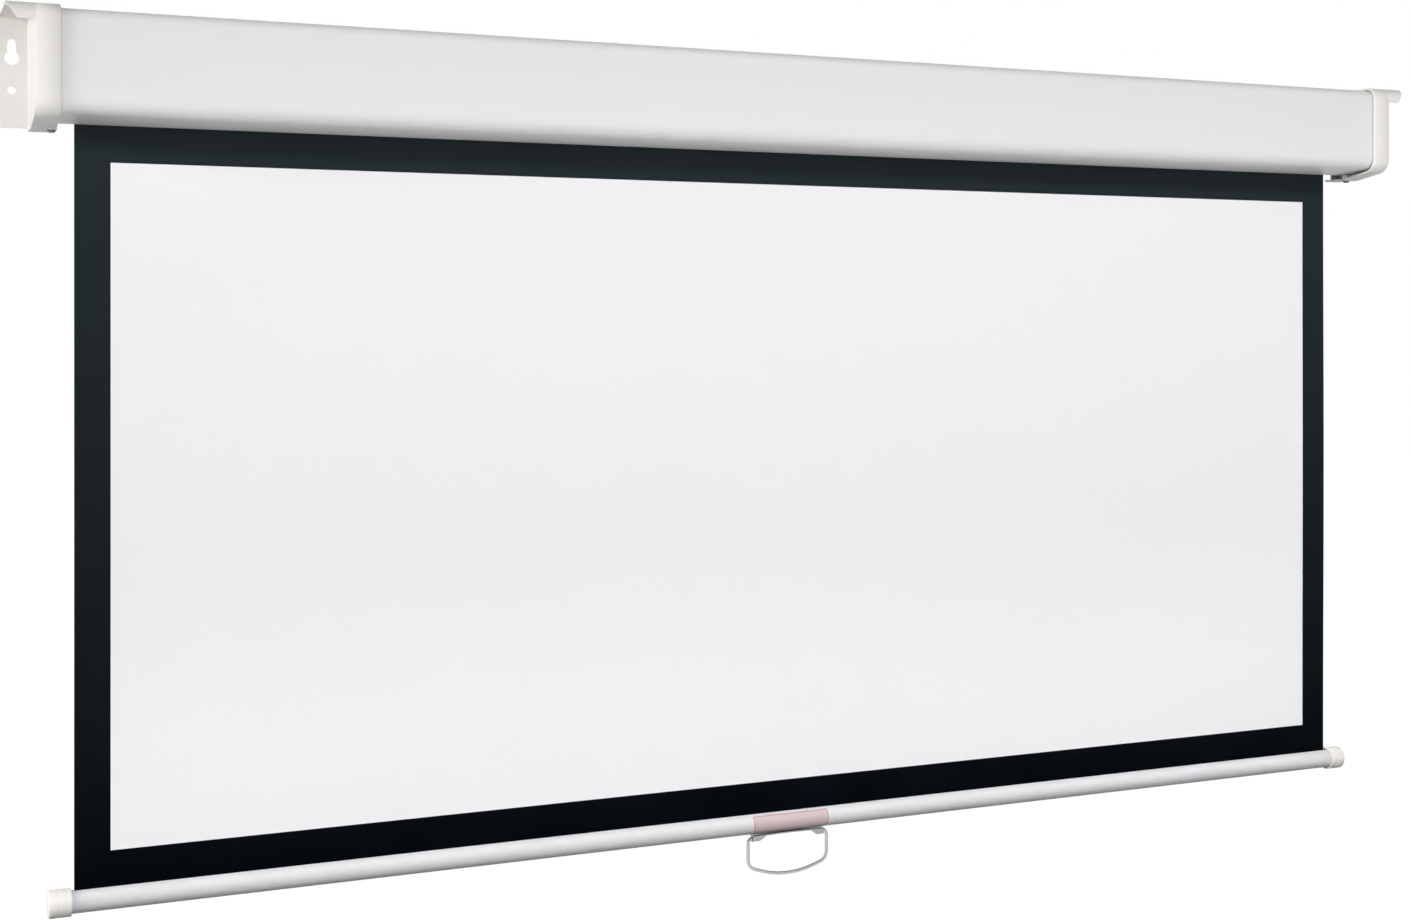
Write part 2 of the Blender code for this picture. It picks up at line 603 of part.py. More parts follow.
def ratchet_wheel(parent):
    """A disc fixed to the spindle, with a slanted notch and a ramp for each pawl's tooth."""
    face, back = -WHEEL_FACE, -(WHEEL_FACE + WHEEL_THICKNESS)
    tail = back - WHEEL_HUB_LENGTH
    profile = [(face, SPINDLE_BORE), (face, WHEEL_RADIUS), (back, WHEEL_RADIUS), (back, WHEEL_HUB_RADIUS)]
    profile += [(tail, WHEEL_HUB_RADIUS), (tail, SPINDLE_BORE)]
    wheel = piece("ratchet_wheel", turned(profile, ROUND_STEPS, closed=True), STEEL, parent)
    swing = math.radians(PAWL_SWING_DEG)
    depth = PAWL_TOOTH + NOTCH_CLEARANCE
    wide = PAWL_TOOTH_TIP + 2 * PAWL_ARM * 0.4 + 2 * NOTCH_CLEARANCE
    for number in range(2):
        around = Matrix.Rotation(pawl_direction(number), 2)
        for ramp in (0.0, math.radians(NOTCH_RAMP_DEG)):
            lean = Matrix.Rotation(swing, 2)
            tip = Vector((PAWL_PIN_CIRCLE, 0)) + lean @ Vector((-depth, PAWL_REACH))
            way = Matrix.Rotation(swing - ramp, 2) @ Vector((1, 0))
            centre = tip + way * depth
            slot = [around @ Vector(p) for p in box_points(2 * depth, wide, centre, swing - ramp)]
            mesh = prism([tuple(p) for p in slot], face + CLEARANCE, back - CLEARANCE)
            cut(wheel, mesh)
    pin_hole = rod(WHEEL_PIN_RADIUS + CLEARANCE, -2 * WHEEL_HUB_RADIUS, 2 * WHEEL_HUB_RADIUS, steps=12)
    cut(wheel, moved(pin_hole, (-WHEEL_PIN_X, 0, 0), TURN_UP))
    pin = rod(WHEEL_PIN_RADIUS, -WHEEL_HUB_RADIUS, WHEEL_HUB_RADIUS, steps=12)
    piece("ratchet_pin", moved(pin, (-WHEEL_PIN_X, 0, 0), TURN_UP), STEEL, parent)


def roller_tube(parent):
    """A steel tube with one slit along its top, where the fabric's edge is keyed in."""
    half = math.asin(SLIT_WIDTH / 2 / ROLLER_RADIUS)
    sweep = 2 * math.pi - 2 * half
    angles = [math.pi / 2 + half + sweep * step / ROUND_STEPS for step in range(ROUND_STEPS + 1)]
    rows = [
        [(radius * math.cos(a), radius * math.sin(a)) for a in angles]
        for radius in (ROLLER_RADIUS, ROLLER_RADIUS - ROLLER_WALL)
    ]
    piece("roller_tube", ribbon(*rows, -ROLLER_END, ROLLER_END), STEEL, parent)


def spline_section(grow=0.0):
    """The T of the spline: its head inside the tube and its neck in the slit."""
    head_top = ROLLER_RADIUS - ROLLER_WALL - SPLINE_CROWN + grow
    half_head = SPLINE_WIDTH / 2 + grow
    half_neck = SPLINE_NECK / 2 + grow
    bottom = head_top - SPLINE_HEAD - 2 * grow
    top = ROLLER_RADIUS - CLEARANCE / 2 + grow
    right = [(half_head, bottom), (half_head, head_top), (half_neck, head_top), (half_neck, top)]
    return right + [(-y, z) for y, z in reversed(right)]


def fabric_spline(parent):
    """The plastic strip that holds the fabric's top edge in the roller's slit, between the two plugs."""
    half = ROLLER_END - PLUG_LENGTH - 2 * CLEARANCE
    piece("fabric_spline", prism(spline_section(), -half, half), NYLON, parent)


def fabric_wrap(parent):
    """The turns that stay on the roller: one spiral whose outer end meets the hanging fabric."""
    steps = round(WRAP_TURNS * 24)
    rows = ([], [])
    for step in range(steps + 1):
        turn = WRAP_TURNS * step / steps
        angle = 2 * math.pi * turn
        middle = FABRIC_RADIUS - WRAP_PITCH * turn
        for row, half in zip(rows, (FABRIC_THICKNESS / 2, -FABRIC_THICKNESS / 2)):
            row.append(((middle + half) * math.cos(angle), (middle + half) * math.sin(angle)))
    half_width = FABRIC_WIDTH / 2
    piece("fabric_wrap", ribbon(*rows, -half_width, half_width), BLACK_FABRIC, parent)


def roller_plug(side, bore, parent):
    """A moulded plug pressed into the roller's end, with a flange that covers the tube's edge."""
    label = SIDE_NAMES[side]
    start = ROLLER_END - PLUG_LENGTH
    flange = ROLLER_END + FLANGE_TO_TUBE
    rim = ROLLER_RADIUS - PLUG_FLANGE_INSET
    lead = PLUG_RADIUS - 2 * PLUG_FLANGE_INSET
    chamfer = start + 2 * PLUG_FLANGE_INSET
    outline = [(start, bore), (start, lead), (chamfer, PLUG_RADIUS), (flange, PLUG_RADIUS)]
    outline += [(flange, rim), (PLUG_FACE, rim), (PLUG_FACE, bore)]
    profile = [(side * x, radius) for x, radius in outline]
    return piece(f"{label}_roller_plug", turned(profile, ROUND_STEPS, closed=True), NYLON, parent)


def gudgeon_pin(parent):
    """The steel pin pressed into the right plug, which turns in the bush."""
    start = ROLLER_END - PLUG_LENGTH + CLEARANCE
    end = BRACKET_BACK + BUSH_FLANGE + GUDGEON_RADIUS
    collar = BRACKET_FACE - 2 * CLEARANCE - BUSH_FLANGE
    neck = GUDGEON_RADIUS
    profile = [(start, 0.0), (start, neck), (collar - neck, neck), (collar - neck, neck * 1.6)]
    profile += [(collar, neck * 1.6), (collar, neck), (end - neck / 3, neck), (end, neck * 0.7), (end, 0.0)]
    piece("gudgeon_pin", turned(profile, SMALL_STEPS), STEEL, parent)


def spring_anchor(parent):
    """The plug that the spring's turning end grips, deep in the roller. The spindle's end runs in it."""
    start, shoulder = -ANCHOR_INNER, -ANCHOR_OUTER
    end = shoulder - ANCHOR_NECK
    profile = [(start, SPINDLE_BORE), (start, PLUG_RADIUS), (shoulder, PLUG_RADIUS), (shoulder, SPRING_BORE)]
    profile += [(end, SPRING_BORE), (end, SPINDLE_BORE)]
    anchor = piece("spring_anchor", turned(profile, 24, closed=True), NYLON, parent)
    notch = spline_section(CLEARANCE)
    cut(anchor, prism(notch, start + CLEARANCE, end - CLEARANCE))


def torsion_spring(parent):
    """A wound steel wire whose two ends sit on the still hub and on the turning anchor."""
    start = -(HUB_OUTER - SPRING_WIRE_RADIUS - CLEARANCE)
    end = -(ANCHOR_OUTER + SPRING_WIRE_RADIUS + CLEARANCE)
    steps = SPRING_COILS * SPRING_FACETS
    points = []
    for step in range(steps + 1):
        angle = 2 * math.pi * SPRING_COILS * step / steps
        along = start + (end - start) * step / steps
        points.append((along, SPRING_RADIUS * math.cos(angle), SPRING_RADIUS * math.sin(angle)))
    wire(points, "torsion_spring", SPRING_WIRE_RADIUS, 1, SPRING_STEEL, parent)
    pitch = (end - start) / SPRING_COILS
    gap = abs(pitch) - 2 * SPRING_WIRE_RADIUS
    print(f"torsion_spring: least gap between its turns {1000 * gap:.2f} mm")
    print(f"fabric_wrap: least gap between its turns {1000 * WRAP_GAP:.2f} mm")


def wire(points, name, radius, bevel_resolution, material, parent):
    """A round wire through points, with flat ends."""
    curve = bpy.data.curves.new(name, "CURVE")
    curve.dimensions = "3D"
    curve.bevel_depth = radius
    curve.bevel_resolution = bevel_resolution
    curve.use_fill_caps = True
    spline = curve.splines.new("POLY")
    spline.points.add(len(points) - 1)
    for point, place in zip(spline.points, points):
        point.co = (*place, 1.0)
    spline.use_smooth = True
    curve.materials.append(material)
    made = bpy.data.objects.new(name, curve)
    made.parent = parent
    bpy.context.scene.collection.objects.link(made)
    return made


def pawl_pins(plug, roller):
    """The two headed pins on the left plug, and the holes that they stand in."""
    for number, letter in enumerate("ab"):
        angle = pawl_direction(number)
        y, z = PAWL_PIN_CIRCLE * math.cos(angle), PAWL_PIN_CIRCLE * math.sin(angle)
        foot = PLUG_FACE - PLUG_FLANGE
        hole = rod(PAWL_PIN_RADIUS + CLEARANCE, -(foot - CLEARANCE), -(PLUG_FACE + CLEARANCE), (y, z), 12)
        cut(plug, hole)
        head = WHEEL_FACE + WHEEL_THICKNESS + CLEARANCE
        tip = head + PAWL_PIN_RADIUS / 2
        profile = [(-foot, 0.0), (-foot, PAWL_PIN_RADIUS), (-head, PAWL_PIN_RADIUS), (-head, PAWL_PIN_HEAD)]
        profile += [(-tip, PAWL_PIN_HEAD), (-tip, 0.0)]
        piece(f"pawl_pin_{letter}", moved(turned(profile, 12), (0, y, z)), STEEL, roller)


def pawl(number, roller):
    """A lever with one tooth, hinged on its pin. It is drawn thrown clear of the wheel."""
    letter = "ab"[number]
    angle = pawl_direction(number)
    place = (0, PAWL_PIN_CIRCLE * math.cos(angle), PAWL_PIN_CIRCLE * math.sin(angle))
    hinge = empty(f"pawl_{letter}_hinge", place, roller)
    half_tip = PAWL_TOOTH_TIP / 2
    corners = [
        (-PAWL_HUB_RADIUS, -PAWL_HUB_RADIUS, PAWL_HUB_RADIUS * 0.95),
        (PAWL_HUB_RADIUS, -PAWL_HUB_RADIUS, PAWL_HUB_RADIUS * 0.95),
        (PAWL_HUB_RADIUS, PAWL_HUB_RADIUS, PAWL_ARM),
        (PAWL_ARM, PAWL_REACH + PAWL_ARM, PAWL_ARM * 0.8),
        (-PAWL_TOOTH, PAWL_REACH + half_tip, 0.0),
        (-PAWL_TOOTH, PAWL_REACH - half_tip, 0.0),
        (-PAWL_ARM * 0.7, PAWL_REACH - PAWL_ARM, PAWL_ARM * 0.5),
        (-PAWL_HUB_RADIUS, PAWL_HUB_RADIUS, PAWL_ARM * 0.5),
    ]
    turn = Matrix.Rotation(angle, 3, "X")
    face, back = -WHEEL_FACE, -(WHEEL_FACE + WHEEL_THICKNESS)
    made = piece(f"pawl_{letter}", moved(prism(rounded(corners), face, back), (0, 0, 0), turn), BRASS, hinge)
    cut(made, rod(PAWL_PIN_RADIUS + CLEARANCE, face + CLEARANCE, back - CLEARANCE, steps=12))


def hanging_fabric():
    """The fabric below the roller: the white picture area, and the black border over and beside it."""
    front = -FABRIC_TO_WALL - FABRIC_THICKNESS / 2
    back = -FABRIC_TO_WALL + FABRIC_THICKNESS / 2
    edge = FABRIC_WIDTH / 2
    picture = edge - SIDE_BORDER
    picture_top = CASE_FLOOR - TOP_BORDER
    foot = FABRIC_BOTTOM + BOTTOM_BORDER + FABRIC_SEAM
    white_top = picture_top - FABRIC_SEAM
    white = box_points(2 * (picture - FABRIC_SEAM), white_top - foot, (0.0, (white_top + foot) / 2))
    piece("viewing_surface", prism(white, front, back, "Y"), WHITE_FABRIC, None)
    top = AXIS_Z - CLEARANCE
    border = [(-edge, top), (-edge, foot), (-picture, foot), (-picture, picture_top)]
    border += [(-x, z) for x, z in reversed(border)]
    piece("black_border", prism(border, front, back, "Y"), BLACK_FABRIC, None)


def bottom_tube(bar):
    """The round bar's steel tube, slit along its top for the fabric."""
    half = math.asin(BAR_SLIT / 2 / BAR_RADIUS)
    sweep = 2 * math.pi - 2 * half
    angles = [math.pi / 2 + half + sweep * step / ROUND_STEPS for step in range(ROUND_STEPS + 1)]
    rows = [
        [(radius * math.cos(a), radius * math.sin(a)) for a in angles]
        for radius in (BAR_RADIUS, BAR_RADIUS - BAR_WALL)
    ]
    tube = piece("bottom_tube", ribbon(*rows, -BAR_END, BAR_END), WHITE_TUBE, bar)
    for side, label in SIDE_NAMES.items():
        hole = circle_points(PLATE_SCREW_SHANK + CLEARANCE, 12, (side * PLATE_SCREW_SPREAD / 2, 0.0))
        cut(tube, prism(hole, -BAR_RADIUS - BAR_WALL, -BAR_RADIUS + 2 * BAR_WALL, "Z"))


def lower_border(bar):
    """The bottom strip of the fabric, which goes into the tube's slit and round the hem rod."""
    centre = (-LOOP_RADIUS, -HEM_ROD_RADIUS / 3)
    path = [(0.0, BAR_RADIUS + BOTTOM_BORDER, 0.0)]
    steps = 20
    for step in range(steps + 1):
        angle = -math.radians(HEM_LOOP_DEG) * step / steps
        path.append((LOOP_RADIUS * math.cos(angle), LOOP_RADIUS * math.sin(angle), angle))
    rows = []
    for half in (FABRIC_THICKNESS / 2, -FABRIC_THICKNESS / 2):
        row = [(half, path[0][1])]
        for y, z, angle in path[1:]:
            row.append((centre[0] + y + half * math.cos(angle), centre[1] + z + half * math.sin(angle)))
        rows.append(row)
    half_width = FABRIC_WIDTH / 2
    piece("lower_border", ribbon(*rows, -half_width, half_width), BLACK_FABRIC, bar)
    rod_half = FABRIC_WIDTH / 2 - HEM_ROD_SHORT
    piece("hem_rod", rod(HEM_ROD_RADIUS, -rod_half, rod_half, centre), STEEL, bar)


def bar_cap(side, bar):
    """A ringed plastic cup over each end of the tube, with a stem that fills the tube's mouth."""
    stem = BAR_RADIUS - BAR_WALL - CLEARANCE
    cup = BAR_RADIUS + BAR_CAP_SKIRT_GAP
    floor = BAR_END + CLEARANCE
    end = BAR_CAP_MOUTH + BAR_CAP_LENGTH
    rim = BAR_CAP_RADIUS
    mouth = BAR_CAP_MOUTH
    tip = FABRIC_WIDTH / 2 + BAR_CAP_TO_FABRIC
    profile = [(tip, 0.0), (tip, stem), (floor, stem), (floor, cup)]
    profile += [(mouth, cup), (mouth, rim - BAR_CAP_GROOVE), (mouth + BAR_CAP_GROOVE, rim)]
    straight = BAR_CAP_LENGTH - BAR_CAP_DOME
    pitch = straight / (BAR_CAP_GROOVES + 1)
    for number in range(1, BAR_CAP_GROOVES + 1):
        middle = mouth + pitch * number
        for shift, depth in ((-2, 0), (-1, 1), (1, 1), (2, 0)):
            profile.append((middle + shift * BAR_CAP_GROOVE, rim - depth * BAR_CAP_GROOVE))
    for step in range(4):
        angle = math.pi / 2 * step / 3.6
        reach = BAR_CAP_DOME * 0.9
        profile.append((end - BAR_CAP_DOME + reach * math.sin(angle), rim - reach * (1 - math.cos(angle))))
    profile.append((end, 0.0))
    mesh = turned([(side * x, radius) for x, radius in profile], 24)
    piece(f"{SIDE_NAMES[side]}_bar_cap", mesh, MOULDED_PLASTIC, bar)


def handle_plate(bar):
    """A strip under the tube, arched lengthwise, with a tapered lug at each end for the handle's pivots."""
    half = PLATE_LENGTH / 2
    across = [half * (step / 8 - 1) for step in range(17)]
    top = [(x, PLATE_TOP - PLATE_ARCH * (x / half) ** 2) for x in across]
    bottom = [(x, z - PLATE_THICKNESS) for x, z in reversed(top)]
    plate = piece("handle_plate", prism(top + bottom, -PLATE_WIDTH / 2, PLATE_WIDTH / 2, "Y"), STEEL, bar)
    lug_radius = PIVOT_BORE + LUG_WALL
    seat = PLATE_TOP - PLATE_ARCH - CLEARANCE / 2
    foot = -PIVOT_DROP - lug_radius
    lug = [
        (-lug_radius, seat, 0.0),
        (-lug_radius, foot, lug_radius * 0.98),
        (lug_radius, foot, lug_radius * 0.98),
        (lug_radius, seat, 0.0),
    ]
    wedge_top = PLATE_TOP - PLATE_ARCH - PLATE_THICKNESS - CLEARANCE
    slope = LUG_TAPER / (wedge_top - foot)
    over = LUG_WALL
    for side, label in SIDE_NAMES.items():
        inboard = half - LUG_LENGTH
        join(plate, prism(rounded(lug), side * inboard, side * half))
        wedge = [
            (side * (inboard - over), wedge_top),
            (side * inboard, wedge_top),
            (side * (inboard + LUG_TAPER + slope * over), foot - over),
            (side * (inboard - over), foot - over),
        ]
        cut(plate, prism(wedge, -2 * lug_radius, 2 * lug_radius, "Y"))
        pivot_end = half - PIVOT_DEPTH - CLEARANCE
        cut(plate, rod(PIVOT_BORE, side * pivot_end, side * (half + over), (0.0, -PIVOT_DROP)))
        x = side * PLATE_SCREW_SPREAD / 2
        hole = circle_points(PLATE_SCREW_SHANK + CLEARANCE, 12, (x, 0.0))
        cut(plate, prism(hole, PLATE_TOP - PLATE_ARCH - PLATE_THICKNESS - over, PLATE_TOP + over, "Z"))
        seat_z = PLATE_TOP - PLATE_ARCH * (x / half) ** 2 - PLATE_THICKNESS - 2 * CLEARANCE
        sizes = (PLATE_SCREW_SHANK, PLATE_SCREW_HEAD, PLATE_SCREW_HEAD_HEIGHT, PLATE_SCREW_LENGTH)
        screw(f"{label}_plate_screw", (x, 0, seat_z), TURN_UP, sizes, bar, 12)


def pull_handle(bar):
    """A wire bail: two pivots that point inwards, two sides and a shallow bow, hanging below the bar."""
    hinge = empty("handle_hinge", (0, 0, -PIVOT_DROP), bar)
    pivot = PLATE_LENGTH / 2 - PIVOT_DEPTH
    corners = [
        (-pivot, 0.0, 0.0),
        (-HANDLE_HALF_WIDTH, 0.0, HANDLE_SHOULDER),
        (-HANDLE_HALF_WIDTH, -HANDLE_SIDE_DROP, HANDLE_CORNER),
        (0.0, -HANDLE_DROP, HANDLE_BOW_RADIUS),
        (HANDLE_HALF_WIDTH, -HANDLE_SIDE_DROP, HANDLE_CORNER),
        (HANDLE_HALF_WIDTH, 0.0, HANDLE_SHOULDER),
        (pivot, 0.0, 0.0),
    ]
    points = [(x, 0.0, z) for x, z in rounded(corners, closed=False, step_deg=BOW_STEP_DEG)]
    wire(points, "pull_handle", WIRE_RADIUS, 3, CHROME, hinge)


clear_scene()
PAINTED_STEEL = finish("painted_steel", (0.80, 0.79, 0.77), 0.42)
MOULDED_PLASTIC = finish("moulded_plastic", (0.83, 0.79, 0.75), 0.45)
WHITE_TUBE = finish("white_tube", (0.82, 0.82, 0.83), 0.30)
WHITE_FABRIC = finish("white_fabric", (0.86, 0.86, 0.87), 0.85)
BLACK_FABRIC = finish("black_fabric", (0.012, 0.013, 0.015), 0.75)
STEEL = finish("zinc_steel", (0.62, 0.63, 0.64), 0.35, 1.0)
SPRING_STEEL = finish("spring_steel", (0.30, 0.30, 0.31), 0.40, 1.0)
CHROME = finish("chrome_wire", (0.78, 0.79, 0.80), 0.15, 1.0)
BRASS = finish("brass_pawl", (0.70, 0.55, 0.28), 0.35, 1.0)
NYLON = finish("nylon", (0.78, 0.78, 0.74), 0.50)

case_shell()
for cap_side in (-1, 1):
    end_cap(cap_side)
    bracket(cap_side)
hanging_fabric()

spindle_carrier = empty("spindle_axis", (0, AXIS_Y, AXIS_Z))
spindle(spindle_carrier)
spring_hub(spindle_carrier)
ratchet_wheel(spindle_carrier)
gudgeon_bush(spindle_carrier)

roller_carrier = empty("roller_axis", (0, AXIS_Y, AXIS_Z))
roller_tube(roller_carrier)
fabric_spline(roller_carrier)
fabric_wrap(roller_carrier)
left_plug = roller_plug(-1, SPINDLE_BORE, roller_carrier)
roller_plug(1, GUDGEON_RADIUS + CLEARANCE, roller_carrier)
gudgeon_pin(roller_carrier)
spring_anchor(roller_carrier)
torsion_spring(roller_carrier)
pawl_pins(left_plug, roller_carrier)
for pawl_number in range(2):
    pawl(pawl_number, roller_carrier)

bar_carrier = empty("bar_slide", (0, -FABRIC_TO_WALL, BAR_Z))
bottom_tube(bar_carrier)
lower_border(bar_carrier)
for cap_side in (-1, 1):
    bar_cap(cap_side, bar_carrier)
handle_plate(bar_carrier)
pull_handle(bar_carrier)

print(f"roller axis at Y {AXIS_Y:.6f} Z {AXIS_Z:.6f}, {1 / FABRIC_RADIUS:.6f} radians a metre")
print(f"the bar rises {TRAVEL:.6f}, its axis at Z {BAR_Z:.6f}, the handle's at Z {BAR_Z - PIVOT_DROP:.6f}")
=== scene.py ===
# %% [markdown]
# # A pull down projector screen
#
# The real object is a steel case on a wall, with a spring roller inside and a white screen that pulls down
# to a round bar with a wire handle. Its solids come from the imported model, which is loaded first and never
# moved. This lesson gives each solid its finish, and makes the soft pieces as cloth: the screen, its black
# border, its hem and the turns on the roller.

import json
import math

import bpy
import numpy as np
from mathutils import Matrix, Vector


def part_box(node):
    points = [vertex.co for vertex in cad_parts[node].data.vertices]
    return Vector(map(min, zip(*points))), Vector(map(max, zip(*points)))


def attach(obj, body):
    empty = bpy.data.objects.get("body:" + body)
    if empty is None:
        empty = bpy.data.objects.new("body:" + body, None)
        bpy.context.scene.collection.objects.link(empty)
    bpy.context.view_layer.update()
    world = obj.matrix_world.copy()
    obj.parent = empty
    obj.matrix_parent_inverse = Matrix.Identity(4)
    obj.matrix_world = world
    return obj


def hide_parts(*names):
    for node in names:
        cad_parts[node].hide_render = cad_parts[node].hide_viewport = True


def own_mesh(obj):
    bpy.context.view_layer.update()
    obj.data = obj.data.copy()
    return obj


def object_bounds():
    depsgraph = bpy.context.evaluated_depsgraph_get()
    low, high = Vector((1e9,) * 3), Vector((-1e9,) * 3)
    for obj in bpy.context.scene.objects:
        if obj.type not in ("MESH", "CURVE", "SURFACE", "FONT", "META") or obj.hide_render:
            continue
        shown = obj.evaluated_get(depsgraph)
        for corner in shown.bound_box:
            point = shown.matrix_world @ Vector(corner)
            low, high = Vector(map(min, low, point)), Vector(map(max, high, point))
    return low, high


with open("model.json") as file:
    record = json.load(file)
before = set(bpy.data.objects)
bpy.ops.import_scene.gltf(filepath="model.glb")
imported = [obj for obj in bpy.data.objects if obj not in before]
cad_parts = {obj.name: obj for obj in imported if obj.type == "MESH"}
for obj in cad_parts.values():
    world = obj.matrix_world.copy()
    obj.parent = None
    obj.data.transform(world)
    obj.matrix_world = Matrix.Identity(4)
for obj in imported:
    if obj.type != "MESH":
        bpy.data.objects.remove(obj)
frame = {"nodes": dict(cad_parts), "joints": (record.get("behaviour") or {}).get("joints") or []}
cad_low, cad_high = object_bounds()

# %% [markdown]
# ## Where the cloth hangs
#
# The screen is two layers: a white face or a printed black border in front, and a blackout layer behind. Its
# lowest strip moves with the bar, so the hanging part ends where the strip starts. These places could be
# typed in as numbers. They are read from the solids instead, so that the cloth still fits if a size changes.

# %% Read the places
def axis_of(low, high):
    """The Y and Z of the line along the middle of a box, from its two corners."""
    return (low.y + high.y) / 2, (low.z + high.z) / 2


border_low, border_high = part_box("black_border")
picture_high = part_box("viewing_surface")[1]
strip_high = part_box("lower_border")[1]
tube_low, tube_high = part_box("bottom_tube")

HALF_WIDTH = border_high.x
PICTURE_HALF = picture_high.x
PICTURE_TOP = picture_high.z
SCREEN_TOP = border_high.z
SCREEN_FOOT = (border_low.z + strip_high.z) / 2
HANGS = SCREEN_TOP - SCREEN_FOOT
SCREEN_Y = (border_low.y + border_high.y) / 2
CLOTH = border_high.y - border_low.y
BAR_Y, BAR_Z = axis_of(tube_low, tube_high)
BAR_RADIUS = (tube_high.z - tube_low.z) / 2
RISE = next(joint["range_m"][1] for joint in frame["joints"] if joint["name"] == "bar_slide")
print(f"the screen hangs {HANGS:.4f} m at Y {SCREEN_Y:.4f}, the bar rises {RISE} m")

# %% [markdown]
# ## The camera
#
# The photograph was taken from the left of the screen, a little below the case. The camera could be tilted
# down to take in the bar, but then upright edges would lean. It stays level instead, and the picture is moved
# down on the sensor, as a shift lens does it, so that more shows below the horizon than above.

# %% Place the camera
PICTURE_WIDE, PICTURE_HIGH = 1411, 920
FOCAL_PIXELS = 1896.0
HORIZON_PIXEL = 327.4
TURN_TO_RIGHT = math.radians(23.45)
CAMERA_PLACE = (-0.812, -1.685, -0.2143)

camera = bpy.data.objects.new("camera", bpy.data.cameras.new("camera"))
bpy.context.scene.collection.objects.link(camera)
bpy.context.scene.camera = camera
camera.data.sensor_fit = "HORIZONTAL"
camera.data.lens = camera.data.sensor_width * FOCAL_PIXELS / PICTURE_WIDE
camera.data.shift_y = (HORIZON_PIXEL - PICTURE_HIGH / 2) / PICTURE_WIDE
camera.location = CAMERA_PLACE
camera.rotation_euler = (math.pi / 2, 0.0, -TURN_TO_RIGHT)
print(f"lens {camera.data.lens:.1f} mm, shift {camera.data.shift_y:.3f}")

# %% [markdown]
# ## Sums on a surface
#
# A finish needs sums on numbers that vary over the surface, such as a pattern times its strength. Wired by
# hand, each one is a Math node. Here a small class wraps a socket and overloads the signs, so `1 - mask`
# reads as it does on paper and adds its node by itself. Every other node comes from one method.

# %% A node's output that can be added and multiplied
class Value:
    """A node's output. A sum on it adds a Math node to the same recipe and gives that node's output."""

    def __init__(self, recipe, socket):
        self.recipe = recipe
        self.socket = socket

    def sum(self, operation, first, second=0.0):
        """The Math node of that operation, on two numbers or outputs."""
        return self.recipe.node("ShaderNodeMath", {"operation": operation}, {0: first, 1: second})

    def beside(self, output):
        """Another output of the same node."""
        return Value(self.recipe, self.socket.node.outputs[output])

    def __add__(self, other):
        return self.sum("ADD", self, other)

    def __sub__(self, other):
        return self.sum("SUBTRACT", self, other)

    def __rsub__(self, other):
        return self.sum("SUBTRACT", other, self)

    def __mul__(self, other):
        return self.sum("MULTIPLY", self, other)

    def __lt__(self, other):
        return self.sum("LESS_THAN", self, other)

    def __gt__(self, other):
        return self.sum("GREATER_THAN", self, other)

    def __abs__(self):
        return self.sum("ABSOLUTE", self)

    __radd__ = __add__
    __rmul__ = __mul__

    def sine(self):
        return self.sum("SINE", self)

    def least(self, other):
        return self.sum("MINIMUM", self, other)

    def most(self, other):
        return self.sum("MAXIMUM", self, other)


print("a number that varies over a surface can be used in a sum")

# %% The one method that adds a node
class Recipe:
    """The nodes of one material, sky or group, and the one method that adds to them."""

    def __init__(self, tree):
        self.nodes = tree.nodes
        self.links = tree.links

    def node(self, kind, settings=None, inputs=None, output=0):
        """A node of that kind: its settings first, then what its sockets get. It gives one output."""
        made = self.nodes.new(kind)
        for name, value in (settings or {}).items():
            setattr(made, name, value)
        for name, value in (inputs or {}).items():
            self.plug(made.inputs[name], value)
        return Value(self, made.outputs[output])

    def plug(self, socket, value):
        """Links an output to the socket, or writes a number or colour on it."""
        if isinstance(value, Value):
            self.links.new(value.socket, socket)
        else:
            socket.default_value = value


class Finish(Recipe):
    """A material with one Principled shader."""

    def __init__(self, name, colour, metallic=0.0, specular=0.5):
        self.material = bpy.data.materials.new(name)
        self.material.use_nodes = True
        super().__init__(self.material.node_tree)
        self.shader = self.nodes["Principled BSDF"]
        self.colour = (*colour, 1.0)
        self.set("Base Color", self.colour)
        self.set("Metallic", metallic)
        self.set("Specular IOR Level", specular)

    def set(self, name, value):
        """Sets one of the shader's own sockets."""
        self.plug(self.shader.inputs[name], value)


print("finishes are ready to be mixed")

# %% [markdown]
# ## Patterns that every finish uses
#
# Real paint, plastic and metal are never one flat colour. Their marks could be painted as pictures, but noise
# needs no picture and never repeats. Noise that is stretched along the piece gives the streaks of rolling and
# drawing, even noise the grain of a mould, and very fine noise the bumps that break up a reflection. All
# read Object coordinates: a piece sits at the origin, so a metre of the pattern is a metre of the piece.

# %% Noise, tint and bumps
def noise(finish, scale, detail=2.0, stretch=(1.0, 1.0, 1.0)):
    """Cloudy noise from 0 to 1, with lumps 1 / scale metres across, pulled out where stretch is below 1."""
    place = finish.node("ShaderNodeTexCoord", output="Object")
    place = finish.node("ShaderNodeMapping", {}, {"Vector": place, "Scale": stretch})
    return finish.node("ShaderNodeTexNoise", {}, {"Vector": place, "Scale": scale, "Detail": detail})


def mix_colours(finish, share, first, second):
    """The first colour where share is 0 or less, and the second where it is 1 or more."""
    return finish.node("ShaderNodeMix", {"data_type": "RGBA"}, {0: share, 6: first, 7: second}, 2)


def tint(finish, share, darker):
    """Lets the finish's own colour vary between itself and itself times the numbers in darker."""
    shaded = tuple(a * b for a, b in zip(finish.colour, (*darker, 1.0)))
    finish.set("Base Color", mix_colours(finish, share, finish.colour, shaded))


def bumps(finish, height, depth):
    """Raises and sinks the surface's look by up to depth metres, without moving it."""
    inputs = {"Strength": 1.0, "Distance": depth, "Height": height}
    finish.set("Normal", finish.node("ShaderNodeBump", {}, inputs))


ALONG_X = (0.02, 1.0, 1.0)
print("patterns: streaks along X, grain, fine bumps")

